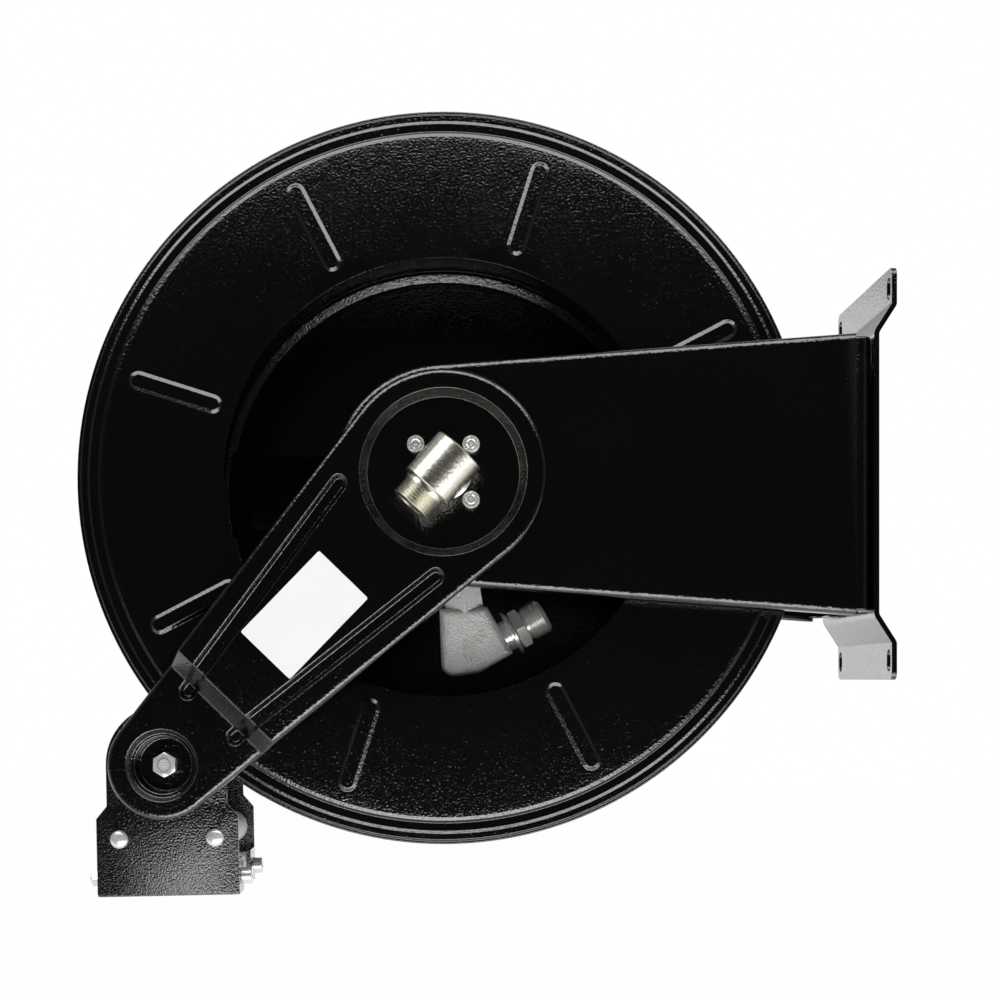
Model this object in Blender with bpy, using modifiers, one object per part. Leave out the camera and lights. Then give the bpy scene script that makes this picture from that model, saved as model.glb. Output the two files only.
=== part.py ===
"""Retractable hose reel for a wall: a spring-wound drum between two side panels, with two guide arms
that carry a swinging outlet box. Metres. +X points out of the wall plate's back, +Z is up, and the
reel's axis lies along Y. The origin is the middle of the wall plate's four slots, on the wall.

Everything is drawn on the reel's side view: x to the right, y up and z (called height here) towards
the inlet side, from the middle plane between the two discs. The empty reel_axis stands that view up.
"""

import math

import bmesh
import bpy
from mathutils import Matrix, Vector

# Fits
SEAT = 0.0003  # between pieces that are bolted, pressed or welded together
RUN = 0.0006  # between pieces that turn against each other

# Reel and wall
HUB_TO_WALL = 0.3444
BRACKET_LEDGE = 0.002
BRACKET_SHEET = 0.004
WEB_OFF_WALL = 0.0134
WEB_HALF_HEIGHT = 0.107
FOOT_START = 0.128
FOOT_END = 0.157
BRACKET_BEND = 0.006
SLOT_HEIGHT_ON_WALL = 0.142
SLOT_SPACING = 0.152
SLOT_WIDTH = 0.010
SLOT_LENGTH = 0.0166
SLOT_MARGIN = 0.004
FOOT_CORNER = 0.006

# Side panels
PANEL_CLEARANCE = 0.002
PANEL_SHEET = 0.003
PANEL_NOSE_RADIUS = 0.084
PANEL_END_HALF_HEIGHT = 0.1082
PANEL_FLANGE = 0.017
PANEL_END_FLANGE = 0.034
PANEL_BEND = 0.005
PANEL_END_BEND = 0.009
PANEL_NOTCH_LENGTH = 0.0035
PANEL_NOTCH_DEPTH = 0.004

# Guide arms
ARM_OVERHANG = 0.025
ARM_ANGLE = math.radians(225.92)
ARM_SHEET = 0.0027
ARM_DEPTH = 0.0107
ARM_HUB_RADIUS = 0.078
ARM_TIP_RADIUS = 0.042
ARM_EDGE_ROUND = 0.004
ARM_STEP = 0.018
ARM_STEP_RUN = 0.014
ARM_STEP_TO_TIP = 0.060
HUB_DISH_RADIUS = 0.0634
HUB_DISH_FLOOR_RADIUS = 0.0578
HUB_DISH_DEPTH = 0.008
GROOVE_WIDTH = 0.0135
GROOVE_DEPTH = 0.004
GROOVE_SIDE = 0.0032
GROOVE_START = (0.061, 0.0509)
GROOVE_END_TO_TIP = 0.0545
GROOVE_END_OFF_AXIS = 0.0251
TIP_DISH_RADIUS = 0.0276
TIP_LEDGE_DEPTH = 0.0065
TIP_CUP_RADIUS = 0.0213
TIP_CUP_DEPTH = 0.0215
LABEL_SIZE = (0.085, 0.0515)
LABEL_CENTRE = (0.1505, 0.0)
LABEL_SHEET = 0.0008

# Hub screws
HUB_SCREW_CIRCLE = 0.0296
HUB_SCREW_RADIUS = 0.004
HUB_SCREW_HEAD_RADIUS = 0.0065
HUB_SCREW_HEAD = 0.008
HUB_SCREW_LENGTH = 0.016

# Drum
DISC_RADIUS = 0.285
DISC_FACE = 0.061
DISC_SHEET = 0.0015
DISC_OPENING = 0.170
RIM_WIDTH = 0.0185
RIM_GROOVE_WIDTH = 0.007
RIM_GROOVE_DEPTH = 0.003
RIM_BEAD_WIDTH = 0.0075
RIM_ROLL_WIDTH = 0.0012
RIM_ROLL_DEPTH = 0.007
RIB_COUNT = 8
RIB_FIRST = math.radians(27.5)
RIB_TO_OPENING = 0.010
RIB_TO_RIM = 0.0115
RIB_WIDTH = 0.015
RIB_RISE = 0.003
BARREL_RADIUS = 0.189
BARREL_SHEET = 0.0015
HOSE_HOLE_ANGLE = math.radians(-13.5)
HOSE_HOLE_WIDTH = 0.036
HOSE_HOLE_LENGTH = 0.060
CROSS_WIDTH = 0.062
CROSS_TAB_WIDTH = 0.073
CROSS_TAB_LENGTH = 0.020
CROSS_TO_BARREL = 0.0045
CROSS_JOG = 0.006
CROSS_SHEET = 0.002
CROSS_HUB_RADIUS = 0.048

# Shaft, bearings and spring
SHAFT_RADIUS = 0.014
SHAFT_BORE = 0.009
SHAFT_SOCKET_DEPTH = 0.0107
SHAFT_FAR_STUB = 0.003
WATERWAY_FLOOR = -0.006
SHAFT_COLLAR_RADIUS = 0.030
SHAFT_COLLAR_WIDTH = 0.005
BUSH_WALL = 0.0032
FLANGE_RADIUS = 0.040
FLANGE_WIDTH = 0.0127
FLANGE_WALL_HOLE = 0.0185
ARBOR_RADIUS = 0.025
ARBOR_WALL = 0.005
ARBOR_END = 0.020
CASE_RADIUS = 0.088
CASE_FRONT = 0.0145
CASE_SHEET = 0.002
SPRING_SHEET = 0.0014
SPRING_TURNS = 4
SPRING_INNER = 0.032
SPRING_STEPS = 16

# Ratchet
RATCHET_RADIUS = 0.095
RATCHET_BORE = 0.060
RATCHET_SHEET = 0.004
TOOTH_COUNT = 12
TOOTH_DEPTH = 0.0115
TOOTH_SLOPE = math.radians(16)
PAWL_PIVOT = (0.125, 0.020)
PAWL_LENGTH = 0.060
PAWL_WIDTH = 0.011
PAWL_HUB_RADIUS = 0.009
PAWL_TIP_INSIDE = 0.008
PAWL_FACE = 0.009
PAWL_LIFT = math.radians(13)
PAWL_PIN_RADIUS = 0.004
PAWL_PIN_SHOULDER = 0.008

# Waterway inside the drum
RISER_HEIGHT = 0.009
RISER_LEAN = math.radians(9.5)
RISER_RADIUS = 0.0135
RISER_BORE = 0.010
RISER_END = 0.0935
ELBOW_NECK = 0.0825
ELBOW_NECK_RADIUS = 0.0172
ELBOW_DEPTH = 0.036
ELBOW_ROUND = 0.005
ELBOW_SHOULDER = (-0.0035, -0.1005)
ELBOW_HEEL = (0.0085, -0.1440)
ELBOW_HEEL_RADIUS = 0.0105
ELBOW_HEEL_SIDES = (math.radians(184), math.radians(276))
ELBOW_UNDERSIDE = (0.0289, -0.1513)
ELBOW_FACE_LOW = (0.0557, -0.1357)
ELBOW_FACE_HIGH = (0.0345, -0.0985)
NIPPLE_START = (0.0480, -0.1233)
NIPPLE_ANGLE = math.radians(29.8)
NIPPLE_ROOT_RADIUS = 0.0127
NIPPLE_BORE = 0.009
NIPPLE_HEX_RADIUS = 0.018
NIPPLE_HEX_SPAN = (0.0103, 0.0197)
NIPPLE_THREAD_RADIUS = 0.015
NIPPLE_NECK = 0.002
NIPPLE_END = 0.0382
THREAD_CHAMFER = 0.0015
WASHER_RADIUS = 0.0192
WASHER_SHEET = 0.003

# Swivel inlet
SWIVEL_CLEARANCE = 0.0011
SWIVEL_ANGLE = math.radians(228.4)
SWIVEL_RADIUS = 0.0206
SWIVEL_LENGTH = 0.0371
SWIVEL_CHAMFER = 0.001
SWIVEL_BOSS_RADIUS = 0.022
SWIVEL_BOSS_GAP = 0.0008
SWIVEL_BOSS_OVERLAP = 0.0038
PORT_THREAD_RADIUS = 0.0166
PORT_NECK_RADIUS = 0.0152
PORT_NECK = 0.0022
PORT_BORE = 0.0115
PORT_END = 0.0371
PORT_SOCKET_RADIUS = 0.0135
PORT_SOCKET_DEPTH = 0.008

# Outlet box
BOX_SHEET = 0.003
BOX_TURN = math.radians(1.2)
BOX_CENTRE = -0.001
BOX_HALF_WIDTH = 0.0554
BOX_NECK_HALF_WIDTH = 0.0470
BOX_SHOULDER_LOW = 0.0419
BOX_SHOULDER_HIGH = 0.0321
BOX_BOTTOM = 0.1029
ROLLER_TO_SIDE = 0.0181
ROLLER_DROP = 0.058
ROLLER_RADIUS = 0.013
AXLE_RADIUS = 0.005
AXLE_HEAD_RADIUS = 0.0071
AXLE_HEAD = 0.0045
CROSS_ROLLER_DROP = 0.0899
CROSS_ROLLER_HEIGHT = 0.035
CROSS_ROLLER_RADIUS = 0.011
CROSS_BOLT_RADIUS = 0.004
CROSS_HEAD_RADIUS = 0.0066
CROSS_HEAD = 0.008
TAB_DEPTH = 0.027
TAB_TOP = 0.076
PIVOT_BOLT_RADIUS = 0.005
PIVOT_NUT_RADIUS = 0.0098
PIVOT_NUT = 0.010

# Sizes that follow from the others
PANEL_FACE = DISC_FACE + RIB_RISE + PANEL_CLEARANCE + PANEL_FLANGE
BRACKET_WIDTH = max(2 * (PANEL_FACE + BRACKET_LEDGE), SLOT_SPACING + SLOT_WIDTH + 2 * SLOT_MARGIN)
PANEL_END = HUB_TO_WALL - WEB_OFF_WALL - BRACKET_SHEET - SEAT
TRAY_END = PANEL_END - PANEL_END_BEND - PANEL_NOTCH_LENGTH
ARM_FACE = PANEL_FACE + SEAT + ARM_DEPTH
ARM_BACK = PANEL_FACE + SEAT
ARM_LENGTH = DISC_RADIUS + ARM_OVERHANG
ARM_STEP_END = ARM_LENGTH - ARM_STEP_TO_TIP
ARM_STEP_START = ARM_STEP_END - ARM_STEP_RUN
DISH_FLOOR = ARM_FACE - HUB_DISH_DEPTH
DISC_FLAT_END = DISC_RADIUS - RIM_WIDTH
RIB_INNER = DISC_OPENING + RIB_TO_OPENING
RIB_OUTER = DISC_FLAT_END - RIB_TO_RIM
HUB_SCREW_TOP = DISH_FLOOR + SEAT + HUB_SCREW_HEAD
SWIVEL_HEIGHT = HUB_SCREW_TOP + SWIVEL_CLEARANCE + PORT_THREAD_RADIUS
SWIVEL_BOSS_LOW = DISH_FLOOR + SWIVEL_BOSS_GAP
SHAFT_NEAR_END = SWIVEL_BOSS_LOW + SHAFT_SOCKET_DEPTH
SHAFT_FAR_END = DISH_FLOOR + SHAFT_FAR_STUB
BOX_OUTER = ARM_FACE - ARM_STEP - TIP_CUP_DEPTH - ARM_SHEET - SEAT
RISER_ANGLE = RISER_LEAN - math.pi / 2
CROSS_TAB_END = BARREL_RADIUS - BARREL_SHEET - CROSS_TO_BARREL
CROSS_TAB_START = CROSS_TAB_END - CROSS_TAB_LENGTH
ROLLER_SPACING = 2 * (BOX_HALF_WIDTH - ROLLER_TO_SIDE)

# Faceting
FINE = 44
CASE_STEPS = 28
ROUND = 18
SHAFT_STEPS = 18
PIPE_STEPS = 16
ROLLER_STEPS = 16
SMALL = 12
TINY = 8


# Scene: one collection for the pieces, one for the shapes that cut or join them.
for old in list(bpy.data.objects):
    bpy.data.objects.remove(old)

pieces = bpy.data.collections.new("retractable_hose_reel")
tools = bpy.data.collections.new("cutters")
bpy.context.scene.collection.children.link(pieces)
bpy.context.scene.collection.children.link(tools)


def empty(name, parent, at=(0, 0, 0), rotation=(0, 0, 0)):
    """An axis for a body to turn on."""
    axis = bpy.data.objects.new(name, None)
    pieces.objects.link(axis)
    axis.parent = parent
    axis.location = at
    axis.rotation_euler = rotation
    return axis


arm_tip = (ARM_LENGTH * math.cos(ARM_ANGLE), ARM_LENGTH * math.sin(ARM_ANGLE), 0)
reel_axis = empty("reel_axis", None, (-HUB_TO_WALL, 0, 0), (math.pi / 2, 0, 0))
drum_axis = empty("drum_axis", reel_axis)
inlet_axis = empty("inlet_axis", reel_axis)
pawl_axis = empty("pawl_axis", reel_axis, (*PAWL_PIVOT, 0))
outlet_axis = empty("outlet_axis", reel_axis, arm_tip, (0, 0, BOX_TURN))


# Finishes
def finish(name, colour, roughness, metallic):
    material = bpy.data.materials.new(name)
    material.use_nodes = True
    shader = material.node_tree.nodes["Principled BSDF"]
    shader.inputs["Base Color"].default_value = (*colour, 1)
    shader.inputs["Roughness"].default_value = roughness
    shader.inputs["Metallic"].default_value = metallic
    return material


BLACK_COAT = finish("black_powder_coat", (0.012, 0.012, 0.012), 0.45, 0.0)
ZINC = finish("zinc_plate", (0.55, 0.54, 0.52), 0.35, 1.0)
BRIGHT_STEEL = finish("bright_steel", (0.72, 0.72, 0.71), 0.25, 1.0)
NICKEL = finish("nickel_plate", (0.62, 0.60, 0.53), 0.22, 1.0)
FORGED_STEEL = finish("forged_zinc", (0.42, 0.42, 0.41), 0.50, 1.0)
SPRING_STEEL = finish("spring_steel", (0.10, 0.10, 0.11), 0.40, 1.0)
BRONZE = finish("bush_bronze", (0.42, 0.28, 0.13), 0.40, 1.0)
NYLON = finish("white_nylon", (0.80, 0.80, 0.78), 0.45, 0.0)
WHITE_LABEL = finish("white_label", (0.85, 0.85, 0.85), 0.40, 0.0)


# Outlines
def arc(centre, radius, start, end, steps):
    """Points on an arc, both ends included, angles in radians."""
    return [
        (
            centre[0] + radius * math.cos(start + (end - start) * i / steps),
            centre[1] + radius * math.sin(start + (end - start) * i / steps),
        )
        for i in range(steps + 1)
    ]


def circle(centre, radius, steps):
    return arc(centre, radius, 0, 2 * math.pi, steps)[:-1]


def taper(start, start_radius, end, end_radius, steps):
    """The outline round two circles of unlike size, joined by their common tangents."""
    run = (end[0] - start[0], end[1] - start[1])
    along = math.atan2(run[1], run[0])
    lean = math.acos((start_radius - end_radius) / math.hypot(*run))
    tail = arc(start, start_radius, along + lean, along + 2 * math.pi - lean, steps)
    nose = arc(end, end_radius, along - lean, along + lean, steps)
    return tail + nose


def slot(start, end, width, steps):
    return taper(start, width / 2, end, width / 2, steps)


def rounded(corners, radius, steps):
    """A path with its inner corners turned into arcs."""
    path = [corners[0]]
    for before, corner, after in zip(corners, corners[1:], corners[2:]):
        back = (Vector(before) - Vector(corner)).normalized()
        ahead = (Vector(after) - Vector(corner)).normalized()
        half = back.angle(ahead) / 2
        middle = Vector(corner) + (back + ahead).normalized() * radius / math.sin(half)
        first = Vector(corner) + back * radius / math.tan(half) - middle
        last = Vector(corner) + ahead * radius / math.tan(half) - middle
        for i in range(steps + 1):
            spoke = first.lerp(last, i / steps).normalized() * radius
            path.append(tuple(middle + spoke))
    path.append(corners[-1])
    return path


def sheet(path, thickness):
    """The closed section of a sheet whose one face follows the path and whose other lies to its right."""
    points = [Vector(p) for p in path]
    other = []
    for i, point in enumerate(points):
        before = (point - points[i - 1]).normalized() if i else None
        after = (points[i + 1] - point).normalized() if i + 1 < len(points) else None
        ahead = ((before or after) + (after or before)).normalized()
        right = Vector((ahead.y, -ahead.x))
        edge = before or after
        square = Vector((edge.y, -edge.x))
        other.append(tuple(point + right * thickness / right.dot(square)))
    return [tuple(p) for p in points] + other[::-1]


def polar(radius, angle):
    return (radius * math.cos(angle), radius * math.sin(angle))


def bored(radius, steps, gap=SEAT):
    """The corner radius of a faceted hole whose flats clear a rod by the gap."""
    return (radius + gap) / math.cos(math.pi / steps)


# Solids
def stand(name, mesh, parent, at, rotation, material):
    """Puts a mesh in the scene: a piece where it has a material, otherwise a cutting or joining tool."""
    thing = bpy.data.objects.new(name, mesh)
    thing.parent = parent
    thing.location = at
    thing.rotation_euler = rotation
    if material:
        mesh.materials.append(material)
        pieces.objects.link(thing)
    else:
        tools.objects.link(thing)
        thing.hide_render = True
        thing.display_type = "WIRE"
    return thing


def flat(name, outline, low, high, parent, material=None, at=(0, 0, 0), rotation=(0, 0, 0)):
    """An outline cut from plate, lying between two heights."""
    curve = bpy.data.curves.new(name, "CURVE")
    curve.dimensions = "2D"
    curve.fill_mode = "BOTH"
    curve.extrude = abs(high - low) / 2
    line = curve.splines.new("POLY")
    line.points.add(len(outline) - 1)
    for point, place in zip(line.points, outline):
        point.co = (*place, 0, 1)
    line.use_cyclic_u = True
    drawn = bpy.data.objects.new(name, curve)
    tools.objects.link(drawn)
    graph = bpy.context.evaluated_depsgraph_get()
    mesh = bpy.data.meshes.new_from_object(drawn.evaluated_get(graph))
    bpy.data.objects.remove(drawn)
    body = bmesh.new()
    body.from_mesh(mesh)
    bmesh.ops.remove_doubles(body, verts=body.verts, dist=1e-6)
    bmesh.ops.translate(body, verts=body.verts, vec=(0, 0, (low + high) / 2))
    bmesh.ops.recalc_face_normals(body, faces=body.faces)
    merge_flat_faces(body)
    body.to_mesh(mesh)
    body.free()
    return stand(name, mesh, parent, at, rotation, material)


def merge_flat_faces(body):
    """Makes one face of the neighbours that lie in one plane."""
    bmesh.ops.dissolve_limit(
        body, angle_limit=math.radians(0.05), verts=body.verts, edges=body.edges
    )


def turned(name, profile, steps, parent, material=None, at=(0, 0, 0), rotation=(0, 0, 0)):
    """A profile of (radius, height) points turned round the height axis."""
    area = sum(a[0] * b[1] - b[0] * a[1] for a, b in zip(profile, profile[1:] + profile[:1]))
    path = profile[::-1] if area > 0 else profile
    joins = [(i, i + 1) for i in range(len(path) - 1)]
    if min(radius for radius, _ in path) > 0:
        joins.append((len(path) - 1, 0))
    mesh = bpy.data.meshes.new(name)
    mesh.from_pydata([(radius, 0, height) for radius, height in path], joins, [])
    thing = stand(name, mesh, parent, at, rotation, material)
    lathe = thing.modifiers.new("Lathe", "SCREW")
    lathe.axis = "Z"
    lathe.steps = steps
    lathe.render_steps = steps
    lathe.use_merge_vertices = True
    lathe.merge_threshold = 1e-6
    return thing


def rod(name, radius, low, high, steps, parent, material=None, at=(0, 0, 0), rotation=(0, 0, 0)):
    """A plain cylinder between two heights."""
    return rods(name, [(0, 0)], radius, low, high, steps, parent, material, at, rotation)


def rods(name, centres, radius, low, high, steps, parent, material=None, at=(0, 0, 0), rotation=(0, 0, 0)):
    """Parallel cylinders of one size, such as the cutters of a bolt pattern."""
    mesh = bpy.data.meshes.new(name)
    body = bmesh.new()
    for x, y in centres:
        bmesh.ops.create_cone(
            body,
            cap_ends=True,
            segments=steps,
            radius1=radius,
            radius2=radius,
            depth=abs(high - low),
            matrix=Matrix.Translation((x, y, (low + high) / 2)),
        )
    body.to_mesh(mesh)
    body.free()
    return stand(name, mesh, parent, at, rotation, material)


def block(name, low, high, parent, material=None, at=(0, 0, 0), rotation=(0, 0, 0)):
    """A box between two opposite corners."""
    size = Vector(high) - Vector(low)
    mesh = bpy.data.meshes.new(name)
    body = bmesh.new()
    bmesh.ops.create_cube(
        body,
        size=1,
        matrix=Matrix.Translation((Vector(low) + Vector(high)) / 2) @ Matrix.Diagonal((*size, 1)),
    )
    body.to_mesh(mesh)
    body.free()
    return stand(name, mesh, parent, at, rotation, material)


def bevel_edges(thing, chosen, width, segments):
    """Rounds those edges of a mesh that the test chooses."""
    body = bmesh.new()
    body.from_mesh(thing.data)
    bmesh.ops.bevel(
        body,
        geom=[edge for edge in body.edges if chosen(edge)],
        offset=width,
        offset_type="OFFSET",
        segments=segments,
        profile=0.5,
        affect="EDGES",
    )
    body.to_mesh(thing.data)
    body.free()


def round_edges(thing, height, width, segments, before=None):
    """Rounds the edges of a plate that lie at one height, but none along a line in x."""

    def level(edge):
        flush = all(abs(corner.co.z - height) < 1e-6 for corner in edge.verts)
        kept = before and all(abs(corner.co.x - before) < 1e-6 for corner in edge.verts)
        return flush and not kept and edge.calc_face_angle(0) > math.radians(20)

    bevel_edges(thing, level, width, segments)


def cut(thing, *cutters):
    for cutter in cutters:
        use_tool(thing, cutter, "DIFFERENCE")


def join(thing, *additions):
    for addition in additions:
        use_tool(thing, addition, "UNION")


def use_tool(thing, tool, operation):
    step = thing.modifiers.new(tool.name, "BOOLEAN")
    step.operation = operation
    step.solver = "EXACT"
    step.object = tool


def settled(thing):
    """The mesh that an object's modifiers make."""
    bpy.context.view_layer.update()
    graph = bpy.context.evaluated_depsgraph_get()
    return bpy.data.meshes.new_from_object(thing.evaluated_get(graph))


def mirrored(mesh, name):
    """The far-side twin of a mesh."""
    twin = mesh.copy()
    twin.name = name
    twin.transform(Matrix.Diagonal((1, 1, -1, 1)))
    twin.flip_normals()
    return twin


def jog(mesh, start, end, shift, side=1):
    """Bends a plate into two levels: past the first crease its height falls until the second."""
    body = bmesh.new()
    body.from_mesh(mesh)
    merge_flat_faces(body)
    for crease in (start, end):
        everything = list(body.verts) + list(body.edges) + list(body.faces)
        bmesh.ops.bisect_plane(
            body, geom=everything, dist=1e-7, plane_co=(side * crease, 0, 0), plane_no=(1, 0, 0)
        )
    for corner in body.verts:
        share = (side * corner.co.x - start) / (end - start)
        corner.co.z -= shift * min(1, max(0, share))
    body.to_mesh(mesh)
    body.free()


def pair(name, mesh, material, parent=None):
    """Stands a mesh on the near side and its mirror image on the far side."""
    mesh.materials.clear()
    twin = mirrored(mesh, f"{name}_far")
    for end, data in (("near", mesh), ("far", twin)):
        stand(f"{name}_{end}", data, parent or reel_axis, (0, 0, 0), (0, 0, 0), material)


def along(angle):
    """The rotation that lays the height axis down in the side view, at an angle from x."""
    return (0, math.pi / 2, angle)


def rotated(point, angle):
    return tuple(Matrix.Rotation(angle, 2) @ Vector(point))


def screw_circle(turn):
    """The centres of the hub's four screws, on a view turned by an angle."""
    return [polar(HUB_SCREW_CIRCLE, math.radians(45 + 90 * i) - turn) for i in range(4)]


# Wall bracket: a hat section whose two feet are slotted for the wall's bolts.
def wall_bracket():
    half = [
        (-WEB_OFF_WALL, 0),
        (-WEB_OFF_WALL, WEB_HALF_HEIGHT),
        (0, FOOT_START),
        (0, FOOT_END),
    ]
    path = [(x, -y) for x, y in reversed(half[1:])] + half[1:]
    outline = sheet(rounded(path, BRACKET_BEND, 3), -BRACKET_SHEET)
    bracket = flat(
        "wall_bracket",
        outline,
        -BRACKET_WIDTH / 2,
        BRACKET_WIDTH / 2,
        reel_axis,
        BLACK_COAT,
        at=(HUB_TO_WALL, 0, 0),
    )

    def foot_corner(edge):
        return all(
            abs(abs(corner.co.y) - FOOT_END) < 1e-6 and abs(abs(corner.co.z) - BRACKET_WIDTH / 2) < 1e-6
            for corner in edge.verts
        ) and abs(edge.verts[0].co.z - edge.verts[1].co.z) < 1e-6

    bevel_edges(bracket, foot_corner, FOOT_CORNER, 3)
    for i, (side, end) in enumerate((a, b) for a in (-1, 1) for b in (-1, 1)):
        middle = (end * SLOT_SPACING / 2, side * SLOT_HEIGHT_ON_WALL)
        half_run = (SLOT_LENGTH - SLOT_WIDTH) / 2
        outline = slot(
            (middle[0], middle[1] - half_run), (middle[0], middle[1] + half_run), SLOT_WIDTH, 6
        )
        cutter = flat(
            f"bracket_slot_{i}",
            outline,
            -3 * BRACKET_SHEET,
            3 * BRACKET_SHEET,
            reel_axis,
            at=(HUB_TO_WALL, 0, 0),
            rotation=(0, math.pi / 2, 0),
        )
        cut(bracket, cutter)


# Side panels: folded trays whose round nose carries the hub. The end flange is bent between notched
# corners and welded to the bracket's web.
def tray_outline(inset, end):
    slope = math.asin((PANEL_END_HALF_HEIGHT - PANEL_NOSE_RADIUS) / PANEL_END)
    nose = PANEL_NOSE_RADIUS - inset
    start = math.pi / 2 + slope
    corner = (nose + end * math.sin(slope)) / math.cos(slope)
    return arc((0, 0), nose, start, 2 * math.pi - start, 16) + [(end, -corner), (end, corner)]


def side_panels():
    deep = PANEL_FACE - PANEL_END_FLANGE
    shallow = PANEL_FACE - PANEL_FLANGE
    inside = PANEL_FACE - PANEL_SHEET
    shell = flat("panel_blank", tray_outline(0, TRAY_END), shallow, PANEL_FACE, reel_axis)
    round_edges(shell, PANEL_FACE, PANEL_BEND, 2, TRAY_END)
    hollow = flat(
        "panel_hollow", tray_outline(PANEL_SHEET, PANEL_END), shallow - PANEL_SHEET, inside, reel_axis
    )
    round_edges(hollow, inside, PANEL_BEND - PANEL_SHEET, 1, PANEL_END)
    corners = [(TRAY_END - PANEL_NOTCH_LENGTH, PANEL_FACE), (PANEL_END, PANEL_FACE), (PANEL_END, deep)]
    half_height = PANEL_END_HALF_HEIGHT - PANEL_NOTCH_DEPTH
    fold = flat(
        "panel_fold",
        sheet(rounded(corners, PANEL_END_BEND, 4), PANEL_SHEET),
        -half_height,
        half_height,
        reel_axis,
        rotation=(math.pi / 2, 0, 0),
    )
    holes = rods(
        "panel_screw_holes",
        screw_circle(0),
        bored(HUB_SCREW_RADIUS, TINY),
        shallow,
        PANEL_FACE + PANEL_SHEET,
        TINY,
        reel_axis,
    )
    hub_hole = rod(
        "panel_hub_hole", FLANGE_WALL_HOLE, shallow, PANEL_FACE + PANEL_SHEET, ROUND, reel_axis
    )
    cut(shell, hollow)
    join(shell, fold)
    cut(shell, holes, hub_hole)
    pair("side_panel", settled(shell), BLACK_COAT)


# Guide arms: pressed shells, drawn along the arm, from the hub dish to the cup that holds the box.
def arm_outline(inset, steps):
    radii = (ARM_HUB_RADIUS - inset, ARM_TIP_RADIUS - inset)
    return taper((0, 0), radii[0], (ARM_LENGTH, 0), radii[1], steps)


def arm_grooves(name, low, widen):
    """Both stiffening grooves, as the solid that presses them in."""
    tools_made = []
    for side in (-1, 1):
        start = (GROOVE_START[0], side * GROOVE_START[1])
        end = (ARM_LENGTH - GROOVE_END_TO_TIP, side * GROOVE_END_OFF_AXIS)
        outline = slot(start, end, GROOVE_WIDTH + 2 * widen, 4)
        tool = flat(f"{name}_{side}", outline, low, ARM_FACE + GROOVE_DEPTH, reel_axis)
        round_edges(tool, low, GROOVE_SIDE, 1)
        tools_made.append(tool)
    return tools_made


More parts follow.
